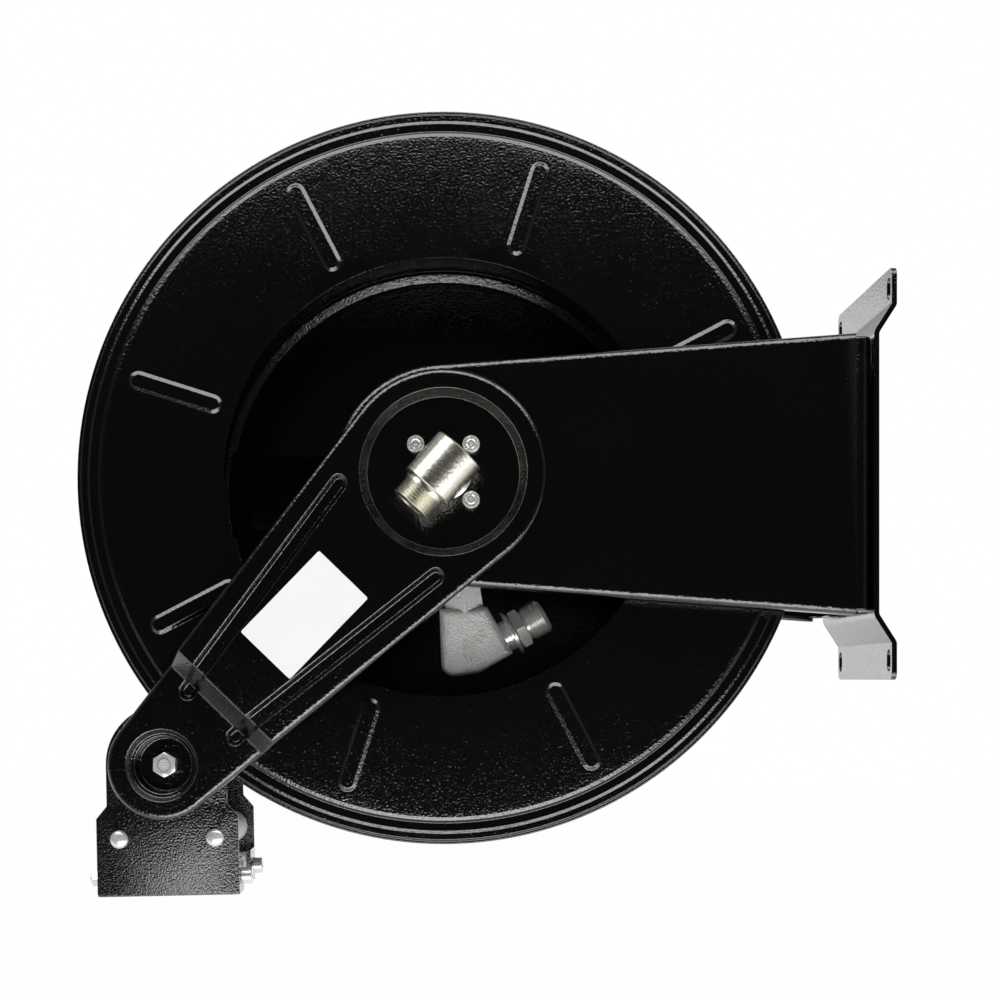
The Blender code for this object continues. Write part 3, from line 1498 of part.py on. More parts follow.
def cross_roller(name, side):
    spot = (BOX_CENTRE, -CROSS_ROLLER_DROP, side * CROSS_ROLLER_HEIGHT)
    under_head = BOX_HALF_WIDTH + SEAT
    end = -BOX_HALF_WIDTH - CROSS_HEAD
    turned(
        f"cross_bolt_{name}",
        [
            (0, under_head + CROSS_HEAD),
            (CROSS_HEAD_RADIUS, under_head + CROSS_HEAD),
            (CROSS_HEAD_RADIUS, under_head),
            (CROSS_BOLT_RADIUS, under_head),
            (CROSS_BOLT_RADIUS, end),
            (0, end),
        ],
        TINY,
        outlet_axis,
        ZINC,
        at=spot,
        rotation=along(0),
    )
    nut = rod(
        f"cross_nut_{name}",
        CROSS_HEAD_RADIUS,
        -under_head - CROSS_HEAD * 0.8,
        -under_head,
        6,
        outlet_axis,
        ZINC,
        at=spot,
        rotation=along(0),
    )
    hole = rod(
        f"cross_nut_hole_{name}",
        bored(CROSS_BOLT_RADIUS, TINY),
        -2 * BOX_HALF_WIDTH,
        -BOX_HALF_WIDTH / 2,
        TINY,
        outlet_axis,
        at=spot,
        rotation=along(0),
    )
    cut(nut, hole)
    spin = empty(f"cross_roller_{name}_axis", outlet_axis, spot, along(0))
    half = BOX_HALF_WIDTH - BOX_SHEET - RUN
    section = roller_section(CROSS_ROLLER_RADIUS, CROSS_BOLT_RADIUS, half)
    turned(f"cross_roller_{name}", section, ROLLER_STEPS, spin, NYLON)


def pivot_bolt(name, side):
    """The bolt stands in the arm's cup, its head inside the box plate and its nut in the cup."""
    floor = ARM_FACE - TIP_CUP_DEPTH - ARM_STEP
    head_top = BOX_OUTER - BOX_SHEET - SEAT
    end = floor + SEAT + PIVOT_NUT + PIVOT_BOLT_RADIUS / 2
    turned(
        f"pivot_bolt_{name}",
        [
            (0, side * end),
            (PIVOT_BOLT_RADIUS, side * end),
            (PIVOT_BOLT_RADIUS, side * head_top),
            (PIVOT_NUT_RADIUS, side * head_top),
            (PIVOT_NUT_RADIUS, side * (head_top - PIVOT_NUT * 0.7)),
            (0, side * (head_top - PIVOT_NUT * 0.7)),
        ],
        SMALL,
        reel_axis,
        BRIGHT_STEEL,
        at=arm_tip,
    )
    nut = rod(
        f"pivot_nut_{name}",
        PIVOT_NUT_RADIUS,
        side * (floor + SEAT),
        side * (floor + SEAT + PIVOT_NUT),
        6,
        reel_axis,
        BRIGHT_STEEL,
        at=arm_tip,
        rotation=(0, 0, math.pi / 6),
    )
    hole = rod(
        f"pivot_nut_hole_{name}",
        bored(PIVOT_BOLT_RADIUS, SMALL),
        side * floor,
        side * (floor + 2 * PIVOT_NUT),
        SMALL,
        reel_axis,
        at=arm_tip,
    )
    cut(nut, hole)


wall_bracket()
side_panels()
guide_arms()
hub()
drum_discs()
drum_barrel()
cross_member()
main_shaft()
spring_case()
ratchet()
riser()
elbow()
swivel()
outlet_box()

for piece in pieces.objects:
    if piece.type == "MESH":
        shape = settled(piece)
        piece.modifiers.clear()
        piece.data = shape
        shape.shade_smooth()
        shape.set_sharp_from_angle(angle=math.radians(30))
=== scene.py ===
"""Retractable hose reel for a wall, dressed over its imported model. Metres, +X into the wall, +Z up.

Pieces are drawn on the reel's side view, x to the right, y up and height towards the inlet side,
as the model is, and stood up as they are finished.
"""

import math

import bmesh
import bpy
from mathutils import Matrix, Vector


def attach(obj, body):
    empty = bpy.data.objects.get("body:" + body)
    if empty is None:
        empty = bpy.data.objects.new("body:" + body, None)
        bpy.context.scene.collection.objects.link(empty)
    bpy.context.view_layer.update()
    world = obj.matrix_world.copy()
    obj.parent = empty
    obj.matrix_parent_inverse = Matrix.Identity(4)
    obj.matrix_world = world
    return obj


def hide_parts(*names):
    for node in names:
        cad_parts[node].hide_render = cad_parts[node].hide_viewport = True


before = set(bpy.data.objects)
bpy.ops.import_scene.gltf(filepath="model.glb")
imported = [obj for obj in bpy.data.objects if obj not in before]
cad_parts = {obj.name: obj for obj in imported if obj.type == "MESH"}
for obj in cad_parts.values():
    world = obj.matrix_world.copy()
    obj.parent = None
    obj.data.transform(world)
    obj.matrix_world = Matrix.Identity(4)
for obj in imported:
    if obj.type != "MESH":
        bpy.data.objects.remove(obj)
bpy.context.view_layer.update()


# Studio: a white surround with a dark opening that the camera looks through, over a pale floor.
# Broad soft panels above and below light the reel's bends, a low lamp in front the drum's hollow,
# and one behind its back. The camera stands low and level in front, with its frame shifted up.
CAMERA_AT = (-0.3394, -1.311, -0.1556)
SENSOR_WIDTH = 36
LENS = 58.15
FRAME_SHIFT = (0.05, 0.178)
OPENING_SPREAD = (1.43, 1.75)
OPENING_RISE = 0.05
OPENING_EDGE = (0.7, 1.4)
OPENING_TONE = (0.02, 0.0195, 0.017)
FRONT_TONE = (0.12, 0.12, 0.12)
BACK_TONES = ((0.0, 0.2), (0.4, 0.4), (1.0, 0.8))
LAMPS = (  # name, place, direction, width and height, watts
    ("panel_above", (-0.35, -0.80, 0.90), (0, 0, -1), (2.3, 1.0), 25),
    ("panel_below", (-0.06, -0.90, -0.70), (0, 0, 1), (1.32, 0.90), 12.5),
    ("lamp_front", (-0.30, -2.0, -1.06), (0, 2.0, 0.9), (1.5, 0.32), 5.5),
    ("light_behind", (-0.75, 1.7, 0.0), (0.24, -1, 0), (0.9, 1.2), 4),
)
FLOOR_HEIGHT = -0.75
FLOOR_EDGE = -0.7
FLOOR_SIZE = 4.0
FLOOR_TONE = (0.86, 0.86, 0.86, 1)
FLOOR_ROUGHNESS = 0.9
FLOOR_WHITENESS = 0.98


class Signal:
    """One output of a shader node. Sums of signals and numbers add Math nodes."""

    def __init__(self, tree, socket=None):
        self.tree = tree
        self.socket = socket

    def node(self, kind, sockets=None, output=0, stops=None, **settings):
        made = self.tree.nodes.new(kind)
        for key, value in settings.items():
            setattr(made, key, value)
        if stops:
            ramp = made.color_ramp
            while len(ramp.elements) < len(stops):
                ramp.elements.new(0.5)
            for element, (position, colour) in zip(ramp.elements, stops):
                element.position = position
                element.color = colour
        for key, value in (sockets or {}).items():
            if isinstance(value, Signal):
                self.tree.links.new(value.socket, made.inputs[key])
            else:
                made.inputs[key].default_value = value
        return Signal(self.tree, made.outputs[output])

    def maths(self, operation, *values):
        return self.node("ShaderNodeMath", dict(enumerate(values)), operation=operation)

    def __add__(self, other):
        return self.maths("ADD", self, other)

    def __sub__(self, other):
        return self.maths("SUBTRACT", self, other)

    def __rsub__(self, other):
        return self.maths("SUBTRACT", other, self)

    def __mul__(self, other):
        return self.maths("MULTIPLY", self, other)

    def __gt__(self, other):
        return self.maths("GREATER_THAN", self, other)

    __radd__ = __add__
    __rmul__ = __mul__

    def between(self, low, high):
        """The signal's share of the way from low to high, kept within them."""
        return self.node("ShaderNodeMapRange", {0: self, 1: low, 2: high})

    def mix(self, first, second):
        """The first colour where the signal is 0, the second where it is 1."""
        ends = [(*c, 1) if isinstance(c, tuple) else c for c in (first, second)]
        sockets = {0: self, 6: ends[0], 7: ends[1]}
        return self.node("ShaderNodeMix", sockets, output=2, data_type="RGBA")

    def noise(self, scale, detail, roughness=0.5):
        sockets = {"Vector": self, "Scale": scale, "Detail": detail, "Roughness": roughness}
        return self.node("ShaderNodeTexNoise", sockets)

    def bump(self, height, depth, strength=1.0):
        sockets = {"Strength": strength, "Distance": depth, "Height": height}
        return self.node("ShaderNodeBump", sockets)


def added(name, data):
    """A new object, linked to the scene."""
    made = bpy.data.objects.new(name, data)
    bpy.context.scene.collection.objects.link(made)
    return made


camera = added("camera", bpy.data.cameras.new("camera"))
camera.location = CAMERA_AT
camera.rotation_euler = (math.pi / 2, 0, 0)
camera.data.sensor_width = SENSOR_WIDTH
camera.data.lens = LENS
camera.data.shift_x, camera.data.shift_y = FRAME_SHIFT
bpy.context.scene.camera = camera
bpy.context.scene.view_settings.view_transform = "Standard"

world = bpy.data.worlds.new("studio")
bpy.context.scene.world = world
world.use_nodes = True
start = Signal(world.node_tree)
direction = start.node("ShaderNodeTexCoord", output="Generated")
parts = [start.node("ShaderNodeSeparateXYZ", {0: direction}, output=i) for i in range(3)]
aside = parts[0] * OPENING_SPREAD[0]
aloft = (parts[2] - OPENING_RISE) * OPENING_SPREAD[1]
opening = (aside * aside + aloft * aloft).between(*OPENING_EDGE)
front = opening.mix(OPENING_TONE, FRONT_TONE)
back_stops = [(position, (tone, tone, tone, 1)) for position, tone in BACK_TONES]
back = start.node("ShaderNodeValToRGB", {0: parts[1]}, stops=back_stops)
surround = (parts[1] > 0).mix(front, back)
seen = start.node("ShaderNodeLightPath", output="Is Camera Ray")
sky = world.node_tree.nodes["Background"]
world.node_tree.links.new(seen.mix(surround, (1.0, 1.0, 1.0)).socket, sky.inputs["Color"])

for name, at, aim, size, power in LAMPS:
    lamp = bpy.data.lights.new(name, "AREA")
    lamp.shape = "RECTANGLE"
    lamp.size, lamp.size_y = size
    lamp.energy = power
    stood = added(name, lamp)
    stood.location = at
    stood.rotation_euler = Vector(aim).to_track_quat("-Z", "Y").to_euler()
    stood.visible_camera = False

floor_shape = bmesh.new()
bmesh.ops.create_grid(floor_shape, x_segments=1, y_segments=1, size=FLOOR_SIZE)
floor_at = (0, FLOOR_SIZE + FLOOR_EDGE, FLOOR_HEIGHT)
bmesh.ops.translate(floor_shape, verts=floor_shape.verts, vec=floor_at)
floor_mesh = bpy.data.meshes.new("floor")
floor_shape.to_mesh(floor_mesh)
floor_shape.free()
floor = added("floor", floor_mesh)
pale = bpy.data.materials.new("pale_floor")
pale.use_nodes = True
tree = pale.node_tree
tree.nodes["Principled BSDF"].inputs["Base Color"].default_value = FLOOR_TONE
tree.nodes["Principled BSDF"].inputs["Roughness"].default_value = FLOOR_ROUGHNESS
start = Signal(tree)
seen = start.node("ShaderNodeLightPath", output="Is Camera Ray")
seen = seen.maths("MAXIMUM", seen, start.node("ShaderNodeLightPath", output="Is Glossy Ray"))
white = start.node("ShaderNodeEmission", {"Color": (1, 1, 1, 1), "Strength": 1.0})
matt = Signal(tree, tree.nodes["Principled BSDF"].outputs[0])
shown = start.node("ShaderNodeMixShader", {0: seen * FLOOR_WHITENESS, 1: matt, 2: white})
tree.links.new(shown.socket, tree.nodes["Material Output"].inputs["Surface"])
floor_mesh.materials.append(pale)


# Wall bracket: one length of plate bent to a hat section, its two feet slotted for the wall's
# bolts. It is black powder coat, as all the sheet metal is.
HUB_TO_WALL = 0.3444
BRACKET_HALF_WIDTH = 0.085
BRACKET_SHEET = 0.004
BRACKET_WEB = 0.0134
BRACKET_BEND = 0.006
WEB_HALF = 0.107
FOOT_START = 0.128
FOOT_END = 0.157
FOOT_CORNER = 0.006
SLOT_AT = (0.076, 0.142)
SLOT_HALF_RUN = 0.0033
SLOT_RADIUS = 0.005
REEL = Matrix.Translation((-HUB_TO_WALL, 0, 0)) @ Matrix.Rotation(math.pi / 2, 4, "X")
SAME_POINT = 1e-6
SEAM = 1e-5
CREASE = math.radians(35)
BEVEL_FROM = math.radians(50)
COAT_TONES = ((0.0008, 0.0008, 0.0009), (0.0014, 0.0014, 0.0016))
COAT_IOR = 1.85


def make_finish(name, inputs_of):
    """A material whose inputs come from the place on the object."""
    material = bpy.data.materials.new(name)
    material.use_nodes = True
    tree = material.node_tree
    shader = tree.nodes["Principled BSDF"]
    place = Signal(tree).node("ShaderNodeTexCoord", output="Object")
    for key, value in inputs_of(place).items():
        if isinstance(value, Signal):
            tree.links.new(value.socket, shader.inputs[key])
        else:
            shader.inputs[key].default_value = value
    return material


def powder_coat(depth, rough, scale=540):
    """Gloss black with a fine wrinkle, whose depth and roughness differ between pieces."""

    def inputs_of(place):
        grain = place.noise(scale, 2)
        peel = place.noise(120, 2)
        cloud = place.noise(9, 4)
        return {
            "Base Color": cloud.mix(*COAT_TONES),
            "IOR": COAT_IOR,
            "Roughness": grain * 0.08 + cloud * 0.04 + rough,
            "Normal": place.bump(grain + peel * 0.2, depth),
        }

    return inputs_of


BLACK = make_finish("black_powder_coat", powder_coat(depth=0.0003, rough=0.05))
COARSE_BLACK = make_finish("coarse_powder_coat", powder_coat(depth=0.0006, rough=0.08, scale=620))


def put(name, body, finish, shape, nodes=(), place=REEL, sheet=None, edge=0.0003):
    """Stands a finished shape on its body. A sheet's thickness lies behind the skin that is drawn,
    and edges are bevelled, or the shading of the flats is kept level where there is no bevel."""
    bmesh.ops.remove_doubles(shape, verts=shape.verts, dist=SAME_POINT)
    bmesh.ops.recalc_face_normals(shape, faces=shape.faces)
    if sheet and sum(f.normal.z * f.calc_area() for f in shape.faces) < 0:
        bmesh.ops.reverse_faces(shape, faces=shape.faces)
    bmesh.ops.transform(shape, matrix=place, verts=shape.verts)
    if place.determinant() < 0:
        bmesh.ops.reverse_faces(shape, faces=shape.faces)
    mesh = bpy.data.meshes.new(name)
    shape.to_mesh(mesh)
    shape.free()
    mesh.shade_smooth()
    mesh.set_sharp_from_angle(angle=CREASE)
    mesh.materials.append(finish)
    piece = added(name, mesh)
    if sheet:
        solid = piece.modifiers.new("sheet", "SOLIDIFY")
        solid.thickness = sheet
        solid.offset = -1
        solid.use_even_offset = True
        solid.use_quality_normals = True
    if edge:
        softened = piece.modifiers.new("edge", "BEVEL")
        softened.width = edge
        softened.segments = 2
        softened.harden_normals = True
        softened.limit_method = "ANGLE"
        softened.angle_limit = BEVEL_FROM
    else:
        level = piece.modifiers.new("level", "WEIGHTED_NORMAL")
        level.keep_sharp = True
    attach(piece, body)
    if nodes:
        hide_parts(*nodes)


def arc(centre, radius, start, end, steps):
    """Points on an arc with their outward normals: (x, y, nx, ny)."""
    turns = [start + (end - start) * i / steps for i in range(steps + 1)]
    normals = [(math.cos(t), math.sin(t)) for t in turns]
    return [(centre[0] + radius * nx, centre[1] + radius * ny, nx, ny) for nx, ny in normals]


def circle(centre, radius, steps):
    return arc(centre, radius, 0, 2 * math.pi, steps)[:-1]


def stadium(first, last, radius, steps):
    along = math.atan2(last[1] - first[1], last[0] - first[0])
    quarter = math.pi / 2
    return arc(first, radius, along + quarter, along + 3 * quarter, steps) + arc(
        last, radius, along - quarter, along + quarter, steps
    )


def closed_line(shape, points):
    """A closed line of edges through points in space."""
    corners = [shape.verts.new(point) for point in points]
    return [shape.edges.new(pair) for pair in zip(corners, corners[1:] + corners[:1])]


def ring(shape, outline, out, height):
    """A closed line at a height, moved outwards from the outline."""
    return closed_line(shape, [(x + nx * out, y + ny * out, height) for x, y, nx, ny in outline])


def walled(shape, upper, lower):
    """Faces between two lines of as many edges."""
    for first, second in zip(upper, lower):
        shape.faces.new((first.verts[0], first.verts[1], second.verts[1], second.verts[0]))


def pressed(shape, outline, section):
    """Walls through rings at (out, height); gives the first ring and the last."""
    rings = [ring(shape, outline, out, height) for out, height in section]
    for upper, lower in zip(rings, rings[1:]):
        walled(shape, upper, lower)
    return rings[0], rings[-1]


def filled(shape, *rings):
    """A flat face that reaches between rings."""
    edges = [edge for one in rings for edge in one]
    bmesh.ops.triangle_fill(shape, edges=edges, use_beauty=True, use_dissolve=False)


def rounded(corners, radius, steps):
    """A path with its inner corners turned into arcs."""
    path = [Vector(corners[0])]
    for before, corner, after in zip(corners, corners[1:], corners[2:]):
        back = (Vector(before) - Vector(corner)).normalized()
        ahead = (Vector(after) - Vector(corner)).normalized()
        half = back.angle(ahead) / 2
        middle = Vector(corner) + (back + ahead).normalized() * radius / math.sin(half)
        first = Vector(corner) + back * radius / math.tan(half) - middle
        last = Vector(corner) + ahead * radius / math.tan(half) - middle
        for i in range(steps + 1):
            path.append(middle + first.lerp(last, i / steps).normalized() * radius)
    path.append(Vector(corners[-1]))
    return path


def open_line(shape, path, across):
    """A line of edges along a path of (x, height) points, all at the same place across."""
    row = [shape.verts.new((p.x, across, p.y)) for p in path]
    return [shape.edges.new(pair) for pair in zip(row, row[1:])]


def drawn_out(shape, line, way):
    """Pulls a wall out of a line of edges; gives the wall's far line."""
    made = bmesh.ops.extrude_edge_only(shape, edges=line)["geom"]
    moved = [v for v in made if isinstance(v, bmesh.types.BMVert)]
    bmesh.ops.translate(shape, verts=moved, vec=way)
    edges = [e for e in made if isinstance(e, bmesh.types.BMEdge)]
    return [e for e in edges if all(v in moved for v in e.verts)]


shape = bmesh.new()
corners = [(0, FOOT_END), (0, FOOT_START), (-BRACKET_WEB, WEB_HALF), (-BRACKET_WEB, -WEB_HALF)]
upper = rounded(corners, BRACKET_BEND, 6)[:-1]
path = upper[1:] + [Vector((p.x, -p.y)) for p in reversed(upper[1:])]
spine = open_line(shape, path, -BRACKET_HALF_WIDTH)
drawn_out(shape, spine, (0, 2 * BRACKET_HALF_WIDTH, 0))
for end in (1, -1):
    lines = []
    for side in (1, -1):
        y, z = side * SLOT_AT[0], end * SLOT_AT[1]
        hole = stadium((y, z - SLOT_HALF_RUN), (y, z + SLOT_HALF_RUN), SLOT_RADIUS, 16)
        lines += closed_line(shape, [(0, p[0], p[1]) for p in hole])
    half, reach = BRACKET_HALF_WIDTH - FOOT_CORNER, FOOT_END - FOOT_CORNER
    turns = arc((half, reach), FOOT_CORNER, 0, math.pi / 2, 6)
    rim = [(BRACKET_HALF_WIDTH, end * path[0].y)] + [(p[0], end * p[1]) for p in turns]
    rim += [(-y, z) for y, z in reversed(rim)]
    lines += closed_line(shape, [(0, *p) for p in rim])
    filled(shape, lines)
bmesh.ops.remove_doubles(shape, verts=shape.verts, dist=SEAM)
bmesh.ops.recalc_face_normals(shape, faces=shape.faces)
if sum(f.normal.x * f.calc_area() for f in shape.faces) < 0:
    bmesh.ops.reverse_faces(shape, faces=shape.faces)
bmesh.ops.solidify(shape, geom=shape.faces, thickness=BRACKET_SHEET)
high = max(v.co.x for v in shape.verts)
bmesh.ops.translate(shape, verts=shape.verts, vec=(-high, 0, 0))
put("wall_bracket_plate", "frame", BLACK, shape, ["wall_bracket"], Matrix.Identity(4))


# Side panels: two folded trays, each a round nose round the hub with a flange along both its
# sides. The end is bent between two notched corners and welded to the bracket.
PANEL_FACE = 0.083
PANEL_SHEET = 0.003
PANEL_BEND = 0.005
PANEL_BORDER = 0.0005
PANEL_NOSE = 0.084
PANEL_END = 0.3267
PANEL_END_HALF = 0.1082
PANEL_FLANGE = 0.017
PANEL_END_FLANGE = 0.034
PANEL_END_BEND = 0.009
PANEL_STATIONS = (0.06, 0.12, 0.18, 0.24, 0.30)
TRAY_END = 0.3142
FOLD_HALF = 0.1042
HUB_HOLE = 0.0185
MIRROR = Matrix.Diagonal((1, 1, -1, 1))
SIDES = (("near", REEL), ("far", REEL @ MIRROR))


def folded(face, bend, border, steps):
    """The section of a rounded edge: a border of the flat face, and the bend over to a wall."""
    turns = [math.pi / 2 * i / steps for i in range(steps + 1)]
    bent = [(bend * (math.sin(a) - 1), face - bend * (1 - math.cos(a))) for a in turns]
    return [(-bend - border, face)] + bent


def sliced(shape, x, dist=SAME_POINT, clear=False):
    """Cuts the whole mesh across at x, and clears what is beyond if told."""
    bmesh.ops.bisect_plane(
        shape,
        geom=list(shape.verts) + list(shape.edges) + list(shape.faces),
        dist=dist,
        plane_co=(x, 0, 0),
        plane_no=(1, 0, 0),
        clear_outer=clear,
    )


for end, turn in SIDES:
    shape = bmesh.new()
    slope = math.asin((PANEL_END_HALF - PANEL_NOSE) / PANEL_END)
    outline = arc((0, 0), PANEL_NOSE, math.pi / 2 + slope, 1.5 * math.pi - slope, 72)
    side = []
    for x in (*PANEL_STATIONS, TRAY_END + PANEL_BEND, TRAY_END + 2 * PANEL_BEND):
        drop = (PANEL_NOSE + x * math.sin(slope)) / math.cos(slope)
        side.append((x, -drop, math.sin(slope), -math.cos(slope)))
    outline += side + [(x, -y, nx, -ny) for x, y, nx, ny in reversed(side)]
    section = folded(PANEL_FACE, PANEL_BEND, PANEL_BORDER, 6)
    inner, _ = pressed(shape, outline, section + [(0, PANEL_FACE - PANEL_FLANGE)])
    hub = ring(shape, circle((0, 0), HUB_HOLE, 64), 0, PANEL_FACE)
    filled(shape, inner, hub)
    sliced(shape, TRAY_END, clear=True)
    at_end = [
        v.co.y
        for v in shape.verts
        if v.co.x > TRAY_END - SEAM and v.co.z > PANEL_FACE - SAME_POINT
    ]
    corners = [(TRAY_END, PANEL_FACE), (PANEL_END, PANEL_FACE)]
    corners += [(PANEL_END, PANEL_FACE - PANEL_END_FLANGE)]
    line = open_line(shape, rounded(corners, PANEL_END_BEND, 8), -FOLD_HALF)
    stations = (-FOLD_HALF, min(at_end), max(at_end), FOLD_HALF)
    for low, high in zip(stations, stations[1:]):
        line = drawn_out(shape, line, (0, high - low, 0))
    nodes = [f"side_panel_{end}"]
    put(f"panel_{end}", "frame", BLACK, shape, nodes, turn, PANEL_SHEET, edge=None)


# Guide arms: two pressed steel arms, each with a dish for the hub's screws, two stiffening grooves,
# a jog that brings it in past the disc's rim, and a cup at its tip for the outlet box's pivot.
ARM_LENGTH = 0.310
ARM_ANGLE = math.radians(225.92)
ARM_SHEET = 0.0027
ARM_FACE = 0.094
ARM_BACK = 0.0833
ARM_HUB = 0.078
ARM_TIP = 0.042
ARM_EDGE = 0.004
ARM_BORDER = 0.0008
ARM_STEP = 0.018
ARM_STEP_FROM = 0.236
ARM_STEP_TO = 0.250
ARM_STEP_EASE = 0.0024
ARM_STEP_CUTS = 6
FINE_CUT = 1e-7
DISH_RADIUS = 0.0634
DISH_FLOOR_RADIUS = 0.0578
DISH_DEPTH = 0.008
GROOVE_RADIUS = 0.00675
GROOVE_DEPTH = 0.004
GROOVE_RUN = 0.0032
GROOVE_ENDS = ((0.061, 0.0509), (0.2555, 0.0251))
TIP_DISH_RADIUS = 0.0276
LEDGE_DEPTH = 0.0065
LEDGE_RUN = 0.0027
CUP_INSET = 0.0057
CUP_DEPTH = 0.0215
CUP_RUN = 0.0008
PIVOT_HOLE = 0.0053
SWAGE_LIP = 1.2


def swage(drop, run, soften=0.0012):
    """The section of a wall pressed from a face: flat, over a soft edge, down, and flat again."""
    lip = SWAGE_LIP * soften
    path = rounded([(lip, 0), (0, 0), (-run, -drop), (-run - lip, -drop)], soften, 4)
    return [(p.x, p.y) for p in path]


for end, turn in SIDES:
    shape = bmesh.new()
    lean = math.acos((ARM_HUB - ARM_TIP) / ARM_LENGTH)
    outline = arc((0, 0), ARM_HUB, lean, 2 * math.pi - lean, 96)
    outline += arc((ARM_LENGTH, 0), ARM_TIP, -lean, lean, 48)
    section = folded(ARM_FACE, ARM_EDGE, ARM_BORDER, 5)
    face, _ = pressed(shape, outline, section + [(0, ARM_BACK)])
    openings = [face]
    section = [(out, ARM_FACE + h) for out, h in swage(DISH_DEPTH, DISH_RADIUS - DISH_FLOOR_RADIUS)]
    rim, well = pressed(shape, circle((0, 0), DISH_RADIUS, 96), section)
    hub = ring(shape, circle((0, 0), HUB_HOLE, 64), 0, ARM_FACE - DISH_DEPTH)
    filled(shape, well, hub)
    openings.append(rim)
    for flip in (1, -1):
        ends = [(x, flip * y) for x, y in GROOVE_ENDS]
        section = [(out, ARM_FACE + h) for out, h in swage(GROOVE_DEPTH, GROOVE_RUN)]
        rim, well = pressed(shape, stadium(*ends, GROOVE_RADIUS, 14), section)
        filled(shape, well)
        openings.append(rim)
    ledge = swage(LEDGE_DEPTH, LEDGE_RUN)[:-1]
    cup = swage(CUP_DEPTH - LEDGE_DEPTH, CUP_RUN)
    section = ledge + [(out - CUP_INSET, h - LEDGE_DEPTH) for out, h in cup]
    section = [(out, ARM_FACE + h) for out, h in section]
    rim, well = pressed(shape, circle((ARM_LENGTH, 0), TIP_DISH_RADIUS, 72), section)
    pivot = ring(shape, circle((ARM_LENGTH, 0), PIVOT_HOLE, 32), 0, ARM_FACE - CUP_DEPTH)
    filled(shape, well, pivot)
    openings.append(rim)
    filled(shape, *openings)
    slope = ARM_STEP / (ARM_STEP_TO - ARM_STEP_FROM)
    ease = ARM_STEP_EASE / 2
    for crease in (ARM_STEP_FROM, ARM_STEP_TO):
        for i in range(ARM_STEP_CUTS + 1):
            sliced(shape, crease + ARM_STEP_EASE * (i / ARM_STEP_CUTS - 0.5), FINE_CUT)
    for point in shape.verts:
        along = point.co.x
        fall = slope * min(ARM_STEP_TO - ARM_STEP_FROM, max(0, along - ARM_STEP_FROM))
        for crease, way in ((ARM_STEP_FROM, 1), (ARM_STEP_TO, -1)):
            near = max(0, ease - abs(along - crease))
            fall += way * slope * near * near / (4 * ease)
        point.co.z -= fall
    bmesh.ops.rotate(shape, verts=shape.verts, matrix=Matrix.Rotation(ARM_ANGLE, 3, "Z"))
    put(f"arm_{end}", "frame", BLACK, shape, [f"guide_arm_{end}"], turn, ARM_SHEET)


# Label plate: a blank plate of white film on the near arm, between its grooves.
# It is a cut rectangle with rounded corners, glued to the arm's coat.
LABEL_SIZE = (0.085, 0.0515)
LABEL_CENTRE = 0.1505
LABEL_SHEET = 0.0008
LABEL_CORNER = 0.0015
LABEL_EDGE = 0.0002
GAP = 0.0003


def white_film(place):
    cloud = place.noise(30, 3)
    grain = place.noise(900, 2)
    return {
        "Base Color": cloud.mix((0.80, 0.80, 0.80), (0.86, 0.86, 0.86)),
        "Roughness": 0.32 + grain * 0.1,
        "Normal": place.bump(grain, 0.00005, 0.4),
    }


WHITE = make_finish("white_film", white_film)
shape = bmesh.new()
x, y = (side / 2 - LABEL_CORNER for side in LABEL_SIZE)
outline = []
for i, corner in enumerate(((x, y), (-x, y), (-x, -y), (x, -y))):
    outline += arc(corner, LABEL_CORNER, math.pi / 2 * i, math.pi / 2 * (i + 1), 5)
low = ARM_FACE + GAP
section = [(-LABEL_EDGE, low + LABEL_SHEET), (0, low + LABEL_SHEET - LABEL_EDGE), (0, low)]
top, bottom = pressed(shape, outline, section)
filled(shape, top)
filled(shape, bottom)
bmesh.ops.translate(shape, verts=shape.verts, vec=(LABEL_CENTRE, 0, 0))
bmesh.ops.rotate(shape, verts=shape.verts, matrix=Matrix.Rotation(ARM_ANGLE, 3, "Z"))
put("blank_label", "frame", WHITE, shape, ["label_plate"], edge=None)


# Drum discs: pressed steel with eight raised ribs, a groove inside the rim and a rolled edge.
# The near disc is open in the middle, the far one closes on the spring's arbor.
DISC_RADIUS = 0.285
DISC_FACE = 0.061
DISC_SHEET = 0.0015
DISC_OPENING = 0.170
ARBOR_HOLE = 0.0274
RIM_BEND = 0.0009
RIM_SECTION = (
    (0.2590, 0.0),
    (0.2635, -0.0002),
    (0.2662, -0.0007),
    (0.2680, -0.0029),
    (0.2728, -0.0025),
    (0.2742, -0.0024),
    (0.2764, -0.0032),
    (0.2813, -0.0030),
    (0.2822, -0.0052),
    (0.2845, -0.0050),
    (0.2850, -0.0070),
)
RIB_COUNT = 8
RIB_FIRST = math.radians(27.5)
RIB_ENDS = (0.180, 0.255)
RIB_RADIUS = 0.0075
RIB_RISE = 0.0015
RIB_RUN = 0.0028
RIB_SOFTEN = 0.0014

